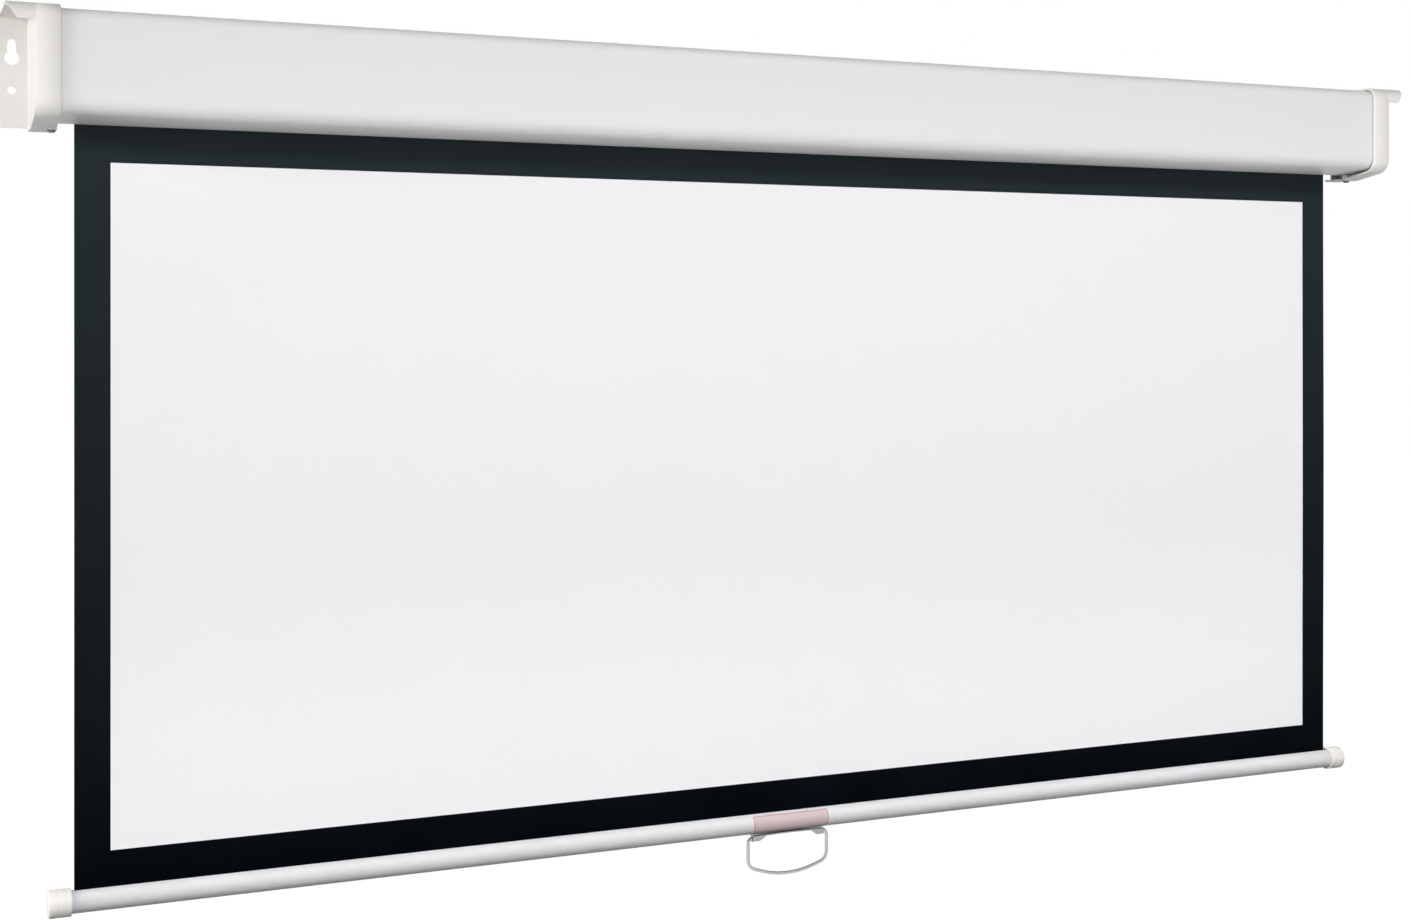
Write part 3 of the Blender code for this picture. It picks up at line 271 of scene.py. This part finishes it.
# %% [markdown]
# ## Painted steel and plastic
#
# The case is baked enamel on rolled steel: off-white, with a soft gloss and the faint pebbled skin that
# painters call orange peel. The caps are moulded in a warmer white and are a little duller. The bar's tube
# has the smoothest coat of the three, but it reflects the least. One flat colour for each would do from
# afar. Near to it that looks like chalk, so each finish varies a little in tone and in gloss.

# %% Case, caps and tube
painted_steel = Finish("painted_steel_coat", (0.757, 0.751, 0.749))
streaks = noise(painted_steel, 90.0, 3.0, ALONG_X)
dust = noise(painted_steel, 14.0, 4.0)
peel = noise(painted_steel, 520.0, 1.0)
tint(painted_steel, streaks * 0.6 + dust * 0.5, (0.965, 0.963, 0.958))
painted_steel.set("Roughness", 0.34 + streaks * 0.10 + dust * 0.06)
bumps(painted_steel, peel, 0.00003)

moulded_plastic = Finish("moulded_plastic_shell", (0.787, 0.767, 0.745))
clouds = noise(moulded_plastic, 22.0, 3.0)
grain = noise(moulded_plastic, 1500.0, 2.0)
tint(moulded_plastic, clouds, (0.955, 0.945, 0.925))
moulded_plastic.set("Roughness", 0.38 + grain * 0.14)
bumps(moulded_plastic, grain, 0.00002)

white_tube = Finish("white_tube_coat", (0.645, 0.645, 0.66), specular=0.15)
drawn = noise(white_tube, 160.0, 2.0, ALONG_X)
smudges = noise(white_tube, 30.0, 4.0)
tint(white_tube, drawn, (0.955, 0.96, 0.965))
white_tube.set("Roughness", 0.20 + smudges * 0.12 + drawn * 0.05)
bumps(white_tube, noise(white_tube, 600.0, 1.0), 0.00002)
print("painted steel, moulded plastic and the tube's coat")

# %% [markdown]
# ## Metals and nylon
#
# The brackets, pins and small screws are zinc plated: flat grey crystals, each a little brighter or duller
# than the next, which is what Voronoi cells look like. The handle is plated wire. Its plate is painted a
# darker grey and the screws under the caps nearly black: painted shade for the shade under the tube and the
# caps, and on the plate's lugs painted dark reflection too. The spring is oiled black wire, and the pawls are
# stamped brass. The plugs and the bush are nylon. Each could have nodes of its own, but they differ only in
# numbers: a pattern of wear shades and dulls all of them, and a finer noise gives each its bumps.

# %% Zinc plate
def worn(finish, wear, darker, roughness, more, grain, depth=0.00001):
    """Where wear is 1, the colour is times darker and the roughness grows by more.

    Noise with the scale and detail in grain gives bumps of that depth.
    """
    tint(finish, wear, darker)
    finish.set("Roughness", roughness + wear * more)
    bumps(finish, noise(finish, *grain), depth)


zinc = Finish("zinc_plate", (0.62, 0.63, 0.64), 1.0)
place = zinc.node("ShaderNodeTexCoord", output="Object")
cells = {"Vector": place, "Scale": 420.0}
crystals = zinc.node("ShaderNodeTexVoronoi", {"feature": "F1"}, cells, "Distance")
worn(zinc, crystals, (0.80, 0.81, 0.83), 0.26, 0.20, (900.0, 2.0))
print("zinc crystals, about 2 mm across")

# %% Wire, strip, screws, spring, brass and nylon
chrome_wire = Finish("bright_wire", (0.51, 0.515, 0.52), 1.0)
rubbed = noise(chrome_wire, 120.0, 3.0)
worn(chrome_wire, rubbed, (0.86, 0.87, 0.88), 0.18, 0.14, (700.0, 1.0))

# the plate's darker grey is painted shade and painted dark reflection, as on its lugs under the tube
strip_painted_darker = Finish("strip_painted_darker", (0.46, 0.46, 0.465), 1.0)
scuffs = noise(strip_painted_darker, 300.0, 3.0, ALONG_X)
worn(strip_painted_darker, scuffs, (0.80, 0.81, 0.82), 0.36, 0.14, (900.0, 2.0))

# the screws' near black is painted shade, for the shade they sit in under the caps
screw_with_painted_shade = Finish("screw_painted_shade", (0.13, 0.12, 0.11), 1.0)
screw_mottle = noise(screw_with_painted_shade, 700.0, 2.0)
worn(screw_with_painted_shade, screw_mottle, (1.5, 1.4, 1.3), 0.30, 0.20, (1500.0, 2.0))

spring_steel = Finish("oiled_spring_wire", (0.30, 0.30, 0.31), 1.0)
oil = noise(spring_steel, 110.0, 3.0)
worn(spring_steel, oil, (0.62, 0.60, 0.66), 0.30, 0.22, (900.0, 2.0))

brass = Finish("stamped_brass", (0.70, 0.55, 0.28), 1.0)
tarnish = noise(brass, 260.0, 4.0)
worn(brass, tarnish, (0.78, 0.72, 0.62), 0.24, 0.22, (1200.0, 2.0))

nylon = Finish("natural_nylon", (0.78, 0.78, 0.74))
milky = noise(nylon, 130.0, 3.0)
worn(nylon, milky, (0.93, 0.925, 0.90), 0.42, 0.16, (1100.0, 2.0), 0.00002)
print("wire, strip, browned steel, spring wire, brass and nylon")

# %% [markdown]
# ## Screen cloth
#
# The picture area is matt white vinyl on a woven base: it must scatter light evenly, so it has next to no
# gloss, but near to it the weave shows. The border is the same cloth printed black. Threads could be
# modelled, but they cross almost half a million times, so crossed sine waves give the weave its ups and downs
# as bumps. They read a map that the cloth carries, in metres across and up, so the weave stays on the cloth
# when the screen shortens. Each cloth's colour goes evenly from a lighter top under the case to its foot:
# that is a painted sheen, the light that falls on the top of the screen put into the colour.

# %% White face, black print and blackout layer
WEAVE = 0.0014
WAVES_PER_METRE = 2 * math.pi / WEAVE


def map_of(finish):
    """The map that a piece of cloth or paper carries, in metres: as a whole, then across, then up."""
    whole = finish.node("ShaderNodeUVMap", {"uv_map": "across_up"})
    across = finish.node("ShaderNodeSeparateXYZ", {}, {"Vector": whole})
    return whole, across, across.beside("Y")


def woven(name, top, foot, roughness, depth, gloss):
    """Cloth: sine across times sine up gives the weave, and a painted sheen makes the colour go from top to
    foot.

    Slow noise and fine noise make both uneven. They are a half on average, which the 0.09 takes off again.
    """
    cloth = Finish(name, top, specular=gloss)
    whole, across, up = map_of(cloth)
    threads = (across * WAVES_PER_METRE).sine() * (up * WAVES_PER_METRE).sine()
    uneven = cloth.node("ShaderNodeTexNoise", {}, {"Vector": whole, "Scale": 9.0, "Detail": 3.0})
    fibre = cloth.node("ShaderNodeTexNoise", {}, {"Vector": whole, "Scale": 800.0, "Detail": 2.0})
    # painted sheen: the lighter top colour fades to the foot colour down the cloth
    painted_sheen_fade = (SCREEN_TOP - up) * (1 / (SCREEN_TOP - BAR_Z))
    share = painted_sheen_fade + uneven * 0.14 + threads * 0.03 + fibre * 0.04 - 0.09
    cloth.set("Base Color", mix_colours(cloth, share, (*top, 1.0), (*foot, 1.0)))
    cloth.set("Roughness", roughness - 0.04 + uneven * 0.08)
    bumps(cloth, threads * 0.5 + fibre * 0.5, depth)
    return cloth


# each cloth's first colour is its top, lightened by a painted sheen, and the second its foot
white_fabric = woven("matt_white_vinyl", (0.86, 0.852, 0.872), (0.85, 0.842, 0.862), 0.85, 0.00002, 0.06)
black_fabric = woven("black_print", (0.021, 0.029, 0.032), (0.0006, 0.0014, 0.0022), 0.70, 0.00003, 0.02)
blackout = woven("blackout_layer", (0.024, 0.024, 0.026), (0.016, 0.016, 0.018), 0.80, 0.00004, 0.06)
print("three cloths with one weave")

# %% [markdown]
# ## Round where it is round
#
# The solids come in as loose triangles with a flat look. Welding them for good would change their meshes,
# which must stay as they are, so a small geometry nodes group on each one does it when the piece is drawn: it
# drops the flat look, welds the triangles, and shades smoothly over every edge that bends by less than 32
# degrees. The cloth gets the same group, which keeps the light flat up to its cut edges.

# %% One smoothing group for all pieces
SHARP = math.radians(32.0)
WELD = 0.000001

smoothing = bpy.data.node_groups.new("weld_and_smooth", "GeometryNodeTree")
smoothing.is_modifier = True
smoothing.interface.new_socket("Geometry", in_out="INPUT", socket_type="NodeSocketGeometry")
smoothing.interface.new_socket("Geometry", in_out="OUTPUT", socket_type="NodeSocketGeometry")
steps = Recipe(smoothing)
loose = steps.node("NodeGroupInput")
unmarked = steps.node("GeometryNodeRemoveAttribute", {}, {"Geometry": loose, "Name": "custom_normal"})
welded = steps.node("GeometryNodeMergeByDistance", {}, {"Geometry": unmarked, "Distance": WELD})
rounded = steps.node("GeometryNodeSetShadeSmooth", {"domain": "FACE"}, {0: welded, 2: True})
bend = steps.node("GeometryNodeInputMeshEdgeAngle")
gentle = steps.node("FunctionNodeCompare", {"operation": "LESS_THAN"}, {0: bend, 1: SHARP})
creased = steps.node("GeometryNodeSetShadeSmooth", {"domain": "EDGE"}, {0: rounded, 2: gentle})
steps.plug(smoothing.nodes.new("NodeGroupOutput").inputs[0], creased)
print(f"the group has {len(smoothing.nodes)} nodes")


def smooth(piece):
    """Puts the group on a piece."""
    piece.modifiers.new("smoothing", "NODES").node_group = smoothing


# %% [markdown]
# ## From numbers to a surface
#
# A surface is a grid of points. They could be placed one at a time in a loop, but numpy works out all of them
# at once, and the formula stays in one line. Each square of the grid becomes a face. The same call writes the
# map that the cloth's finish reads. Rows run down the cloth and columns along X, so that the faces point at
# the viewer.

# %% A mesh from a grid
def grid_piece(name, points, across_up, finish, keep=None):
    """A face for every square of the grid, or only for those where keep is true."""
    rows, columns = points.shape[:2]
    number = np.arange(rows * columns).reshape(rows, columns)
    squares = np.stack([number[:-1, :-1], number[1:, :-1], number[1:, 1:], number[:-1, 1:]], axis=-1)
    squares = squares.reshape(-1, 4) if keep is None else squares[keep]
    used, corners = np.unique(squares, return_inverse=True)
    mesh = bpy.data.meshes.new(name)
    mesh.from_pydata(points.reshape(-1, 3)[used].tolist(), [], corners.reshape(-1, 4).tolist())
    layer = mesh.uv_layers.new(name="across_up")
    layer.uv.foreach_set("vector", across_up.reshape(-1, 2)[squares.ravel()].astype(np.float32).ravel())
    mesh.shade_smooth()
    mesh.materials.append(finish.material)
    piece = bpy.data.objects.new(name, mesh)
    bpy.context.scene.collection.objects.link(piece)
    print(f"{name}: {len(mesh.polygons)} faces")
    return piece


def thicken(piece, thickness, offset):
    """Gives a surface its thickness, behind it where offset is -1 and to both sides where it is 0."""
    solid = piece.modifiers.new("thickness", "SOLIDIFY")
    solid.thickness = thickness
    solid.offset = offset
    smooth(piece)
    return piece


print("grids become pieces")

# %% [markdown]
# ## The hanging screen
#
# A hung screen is nearly flat, because the bar's weight stretches it. It bows by a fraction of a millimetre
# in soft waves, and its free side edges curl a little towards the viewer at half height, where neither the
# roller nor the bar holds them. A cloth simulation would settle into much the same, so one formula gives the
# whole sheet. The white face, the black border and the blackout layer take their part of the same grid, so
# they meet along the same lines.

# %% The whole sheet as a grid
LAYER = CLOTH * 0.48
SQUARE, EDGE_SQUARE = 0.012, 0.005
WAVE_DEPTH, CURL_DEPTH = 0.00025, 0.0009


def spaced(start, end, step):
    """Even places from start to end, no further apart than step."""
    return np.linspace(start, end, 2 + int(abs(end - start) / step))


def sheet_points(depth):
    """The sheet at that depth behind its front: Y goes off by waves and a curl, times an arch down it.

    The waves are a sine across times a cosine down. The curl is the 14th power of the way to the edge. The
    arch is the square of a sine that starts a tenth of the way down.
    """
    inner = spaced(-PICTURE_HALF, PICTURE_HALF, SQUARE)
    outer = spaced(PICTURE_HALF, HALF_WIDTH, EDGE_SQUARE)[1:]
    x = np.concatenate([-outer[::-1], inner, outer])
    over_picture = spaced(SCREEN_TOP, PICTURE_TOP, SQUARE)[:-1]
    z = np.concatenate([over_picture, spaced(PICTURE_TOP, SCREEN_FOOT, SQUARE)])
    x, z = np.meshgrid(x, z)
    down = (SCREEN_TOP - z) / HANGS
    arch = np.sin(np.pi * np.clip((down - 0.1) / 0.9, 0.0, 1.0)) ** 2
    waves = WAVE_DEPTH * np.sin(9.0 * x + 0.6) * np.cos(3.0 * down)
    curl = -CURL_DEPTH * (np.abs(x) / HALF_WIDTH) ** 14
    y = SCREEN_Y - CLOTH / 2 + depth + arch * (waves + curl)
    return np.stack([x, y, z], axis=-1)


front = sheet_points(0.0)
print(f"the sheet has {front.shape[0]} rows of {front.shape[1]} points")

# %% Each layer's part of the grid
centre = (front[:-1, :-1] + front[1:, 1:]) / 2
above = centre[..., 2] > PICTURE_TOP
takes = {
    "picture_face": ~above & (np.abs(centre[..., 0]) < PICTURE_HALF),
    "printed_border_top": above,
    "printed_border_left": ~above & (centre[..., 0] < -PICTURE_HALF),
    "printed_border_right": ~above & (centre[..., 0] > PICTURE_HALF),
}
layers = {}
for name, keep in takes.items():
    cloth = white_fabric if name == "picture_face" else black_fabric
    layers[name] = thicken(grid_piece(name, front, front[..., [0, 2]], cloth, keep), LAYER, -1.0)
behind = sheet_points(CLOTH - LAYER)
backing = grid_piece("blackout_backing", behind, front[..., [0, 2]], blackout)
layers["blackout_backing"] = thicken(backing, LAYER, -1.0)

# %% [markdown]
# ## Hanging the layers on the case
#
# When the bar rises, the real cloth winds on to the roller. A mesh can't do that while it only follows a
# slide. Here the hanging layers are attached to the case, each with a mesh of its own, and the share of
# their height that is left between the roller and the parked bar is worked out.

# %% Attach the layers to the case
LEFT_OVER = 1 - RISE / HANGS
for name, layer in layers.items():
    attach(layer, "case")
    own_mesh(layer)
    "white_fabric" if name == "picture_face" else "black_fabric"
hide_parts("viewing_surface")
for name in ("printed_border_top", "printed_border_left", "printed_border_right"):
    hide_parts("black_border")
print(f"{100 * LEFT_OVER:.1f}% of the height is left when the bar is parked")

# %% [markdown]
# ## The hem
#
# The screen's lowest strip drops into the bar's slit and goes round the hem rod, which is too thick to come
# out again. Modifiers could bend a flat sheet that way. But in a section across the bar the strip is just
# one line, straight and then round, so it is a profile that is carried along X. Its map goes on from the
# screen's.

# %% A strip along a profile
STRIP_STEP = 0.03


def strip_piece(name, profile, finish, start, way):
    """The profile's points (Y, Z), repeated at every X. The map begins at start, and way is 1 or -1."""
    x = spaced(-HALF_WIDTH, HALF_WIDTH, STRIP_STEP)
    lengths = np.linalg.norm(np.diff(profile, axis=0), axis=1)
    along = np.concatenate([[0.0], np.cumsum(lengths)])
    points = np.empty((len(profile), len(x), 3))
    points[..., 0] = x
    points[..., 1:] = profile[:, None, :]
    across_up = np.stack(np.broadcast_arrays(x[None, :], start + way * along[:, None]), axis=-1)
    return thicken(grid_piece(name, points, across_up, finish), CLOTH, 0.0), along[-1]


# %% The hem round its rod
HEM_DEGREES = 318.0
LOOP_POINTS, DROP_POINTS = 44, 8

rod_y, rod_z = axis_of(*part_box("hem_rod"))
loop_radius = SCREEN_Y - rod_y
turn = -np.radians(np.linspace(0.0, HEM_DEGREES, LOOP_POINTS))
loop = np.stack([rod_y + loop_radius * np.cos(turn), rod_z + loop_radius * np.sin(turn)], axis=-1)
heights = np.linspace(SCREEN_FOOT, rod_z, DROP_POINTS + 1)[:-1]
drop = np.stack([np.full(DROP_POINTS, SCREEN_Y), heights], axis=-1)
hem, hem_length = strip_piece("border_and_hem", np.concatenate([drop, loop]), black_fabric, SCREEN_FOOT, -1)
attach(hem, "bottom_bar")
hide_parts("lower_border")

# %% [markdown]
# ## The turns on the roller
#
# Some turns of the screen stay on the roller when the bar is down, so that no pull reaches the strip that
# holds its top edge. A stack of rings would do from outside. But the cloth is one strip, so it is a spiral:
# its radius shrinks by one cloth and a little air for each turn, from where the hanging sheet leaves it.

# %% A spiral from the hanging sheet inwards
WRAP_TURNS = 2.25
WRAP_PITCH = 0.00095
WRAP_POINTS = 145

roller_y, roller_z = axis_of(*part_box("roller_tube"))
turn = 2 * np.pi * np.linspace(0.0, WRAP_TURNS, WRAP_POINTS)
radius = SCREEN_Y - roller_y - WRAP_PITCH * turn / (2 * np.pi)
spiral = np.stack([roller_y + radius * np.cos(turn), roller_z + radius * np.sin(turn)], axis=-1)
roll, roll_length = strip_piece("screen_roll", spiral, blackout, SCREEN_TOP, 1)
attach(roll, "roller")
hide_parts("fabric_wrap")
print(f"hem {hem_length:.3f} m, roll {roll_length:.3f} m of cloth")

# %% [markdown]
# ## The sticker on the bar
#
# Over the handle the tube carries a paper sticker with a thin red line round it. A flat card would stand off
# the tube, so it is a rectangle with round corners that is bent round it: each row is as long as the rounded
# outline is there, and lies at its own angle. The line is in the paper's finish, because it is only ink.

# %% The sticker's paper
STICKER_LONG, STICKER_WIDE, STICKER_CORNER = 0.081, 0.0175, 0.0015
STICKER_THICK = 0.0001
LINE_STARTS, LINE_ENDS = 0.0008, 0.0013

paper = Finish("sticker_paper", (0.58, 0.47, 0.48))
whole, across, up = map_of(paper)
inset = (STICKER_LONG / 2 - abs(across)).least(STICKER_WIDE / 2 - abs(up))
frame_line = (inset > LINE_STARTS) * (inset < LINE_ENDS)
pulp = paper.node("ShaderNodeTexNoise", {}, {"Vector": whole, "Scale": 900.0, "Detail": 3.0})
plain = mix_colours(paper, pulp, paper.colour, (0.50, 0.39, 0.40, 1.0))
paper.set("Base Color", mix_colours(paper, frame_line, plain, (0.38, 0.12, 0.13, 1.0)))
paper.set("Roughness", 0.38 + pulp * 0.14)
bumps(paper, pulp, 0.00001)
print("paper with a line", round(1000 * (LINE_ENDS - LINE_STARTS), 1), "mm wide")

# %% The sticker's shape
STICKER_GAP = 0.00003
STICKER_TURN = math.radians(9.0)
STICKER_ROWS, STICKER_COLUMNS = 25, 41

share_up = np.linspace(1.0, -1.0, STICKER_ROWS)
share_across = np.linspace(-1.0, 1.0, STICKER_COLUMNS)
height = share_up * STICKER_WIDE / 2
past = np.maximum(0.0, np.abs(height) - (STICKER_WIDE / 2 - STICKER_CORNER))
half_long = STICKER_LONG / 2 - STICKER_CORNER + np.sqrt(STICKER_CORNER**2 - past**2)
x = half_long[:, None] * share_across[None, :]
radius = BAR_RADIUS + STICKER_GAP + STICKER_THICK
angle = (height / radius + STICKER_TURN)[:, None] + 0.0 * x
points = np.stack([x, BAR_Y - radius * np.cos(angle), BAR_Z + radius * np.sin(angle)], axis=-1)
sticker = grid_piece("bar_sticker", points, np.stack([x, height[:, None] + 0.0 * x], axis=-1), paper)
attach(thicken(sticker, STICKER_THICK, -1.0), "bottom_bar")

# %% [markdown]
# ## Dressing the solids
#
# Each solid keeps the name of its material from the model, and that name says which finish it gets. A list of
# all solids would be three times as long. Only three differ from the rest of their material, and these go by
# their own names.

# %% Give every solid its finish
finish_of = {
    "painted_steel": painted_steel,
    "moulded_plastic": moulded_plastic,
    "white_tube": white_tube,
    "white_fabric": white_fabric,
    "black_fabric": black_fabric,
    "zinc_steel": zinc,
    "spring_steel": spring_steel,
    "chrome_wire": chrome_wire,
    "brass_pawl": brass,
    "nylon": nylon,
}
# the plate and the cap screws take finishes painted darker, as painted shade
finish_by_name = {
    "handle_plate": strip_painted_darker,
    "left_cap_screw": screw_with_painted_shade,
    "right_cap_screw": screw_with_painted_shade,
}
for name, node in frame["nodes"].items():
    for slot in node.material_slots:
        slot.material = finish_by_name.get(name, finish_of[slot.material.name]).material
    if not node.hide_render:
        smooth(node)
print(f"{sum(not node.hide_render for node in frame['nodes'].values())} solids show")

# %% [markdown]
# ## Floor and background
#
# A studio floor stays pale behind the object but still takes its shadow. More light would make it white, but
# the object too. So seen directly, or in a mirror, the floor here adds its own white glow to a lit surface,
# and a shadow only dims it. For all other rays it is a dark floor, which keeps the undersides of the case and
# the bar in soft shade.

# %% A floor
FLOOR_BELOW = 2.0
FLOOR_REACH = 25.0

floor_mesh = bpy.data.meshes.new("floor")
around = np.array([(-1, -1), (1, -1), (1, 1), (-1, 1)]) * FLOOR_REACH
corners = np.column_stack([around, np.full(4, cad_low.z - FLOOR_BELOW)])
floor_mesh.from_pydata(corners.tolist(), [], [(0, 1, 2, 3)])
floor = bpy.data.objects.new("floor", floor_mesh)
bpy.context.scene.collection.objects.link(floor)
print(f"the floor is {2 * FLOOR_REACH:.0f} m wide, {FLOOR_BELOW} m below the bar's handle")

# %% The floor's paint
WHITE = (1.0, 1.0, 1.0, 1.0)


def seen_directly(recipe):
    """1 for rays from the camera, a mirror or clear glass, and 0 for all that only carry light."""
    from_camera = recipe.node("ShaderNodeLightPath", output="Is Camera Ray")
    from_mirror = from_camera.beside("Is Glossy Ray")
    from_glass = from_camera.beside("Is Transmission Ray")
    return from_camera.most(from_mirror).most(from_glass)


floor_paint = Finish("floor_paint", (0.045, 0.05, 0.055), specular=0.0)
floor_paint.set("Roughness", 0.9)
glow = floor_paint.node("ShaderNodeEmission", {}, {"Color": WHITE, "Strength": 0.97})
lit = floor_paint.node("ShaderNodeBsdfDiffuse", {}, {"Color": (0.30, 0.30, 0.30, 1.0)})
pale = floor_paint.node("ShaderNodeAddShader", {}, {0: glow, 1: lit})
plain = Value(floor_paint, floor_paint.shader.outputs[0])
both = floor_paint.node("ShaderNodeMixShader", {}, {0: seen_directly(floor_paint), 1: plain, 2: pale})
floor_paint.plug(floor_paint.nodes["Material Output"].inputs["Surface"], both)
floor_mesh.materials.append(floor_paint.material)
print("the floor glows only where it is seen")

# %% A white sky
FROM_ALL_SIDES, MORE_AT_HORIZON = 0.10, 0.45

world = bpy.data.worlds.new("studio")
world.use_nodes = True
bpy.context.scene.world = world
sky = Recipe(world.node_tree)
direction = sky.node("ShaderNodeTexCoord", output="Generated")
upward = sky.node("ShaderNodeSeparateXYZ", {}, {"Vector": direction}, "Z")
level = 1 - abs(upward)
room = level * level * MORE_AT_HORIZON + FROM_ALL_SIDES
soft = sky.node("ShaderNodeBackground", {}, {"Color": WHITE, "Strength": room})
white = sky.node("ShaderNodeBackground", {}, {"Color": WHITE, "Strength": 1.0})
both = sky.node("ShaderNodeMixShader", {}, {0: seen_directly(sky), 1: soft, 2: white})
sky.plug(sky.nodes["World Output"].inputs["Surface"], both)
print("the sky is white where it is seen, and lights softly from the horizon")

# %% [markdown]
# ## Studio lamps
#
# The photograph is lit softly from the left: the left cap's side is its brightest part. One big lamp from
# there would light the near end of the screen far more than the other. So it stands far off and only grazes
# the front, and three long, low lamps light that. One looks up at the case from under it, which leaves the
# case's top edge dim. Two, under and over the case's height, look down at the screen, so that it is evenly
# white and the tube's underside stays in shade. A thin one with a narrow beam lights the top of the tube
# alone. A weak one behind keeps the back from going dark. The lamps don't show in mirrors: their bright
# shapes there would make the handle's wire as white as the background, so that it seemed broken.

# %% Six soft lamps
def lamp(name, place, target, wide, high, watts, beam=180.0):
    """A rectangular lamp, wide by high in metres, which faces the target. Its beam opens by that angle."""
    light = bpy.data.lights.new(name, "AREA")
    light.shape = "RECTANGLE"
    light.size = wide
    light.size_y = high
    light.energy = watts
    light.spread = math.radians(beam)
    made = bpy.data.objects.new(name, light)
    made.location = place
    made.visible_camera = False
    made.visible_glossy = False
    made.rotation_euler = (Vector(target) - Vector(place)).to_track_quat("-Z", "Y").to_euler()
    bpy.context.scene.collection.objects.link(made)


lamp("key_left", (-7.73, -1.62, 1.0), (-0.1, 0.0, -0.3), 2.0, 2.0, 470.0)
lamp("strip_case", (-0.15, -0.45, -0.2), (-0.15, 0.0, 0.0), 2.6, 0.12, 2.12, 120.0)
lamp("strip_low", (0.0, -0.7, -0.3), (0.0, 0.0, -0.7), 2.6, 0.12, 3.0, 90.0)
lamp("strip_high", (0.3, -1.2, 0.5), (0.3, 0.0, -0.4), 2.6, 0.12, 4.4, 120.0)
lamp("line_above", (0.0, -0.2, 0.02), (0.0, SCREEN_Y, BAR_Z), 1.3, 0.03, 0.07, 16.0)
lamp("fill_behind", (0.6, 3.5, -0.1), (0.0, 0.0, -0.2), 2.0, 2.0, 60.0)
bpy.context.scene.view_settings.view_transform = "Standard"
print("six lamps")
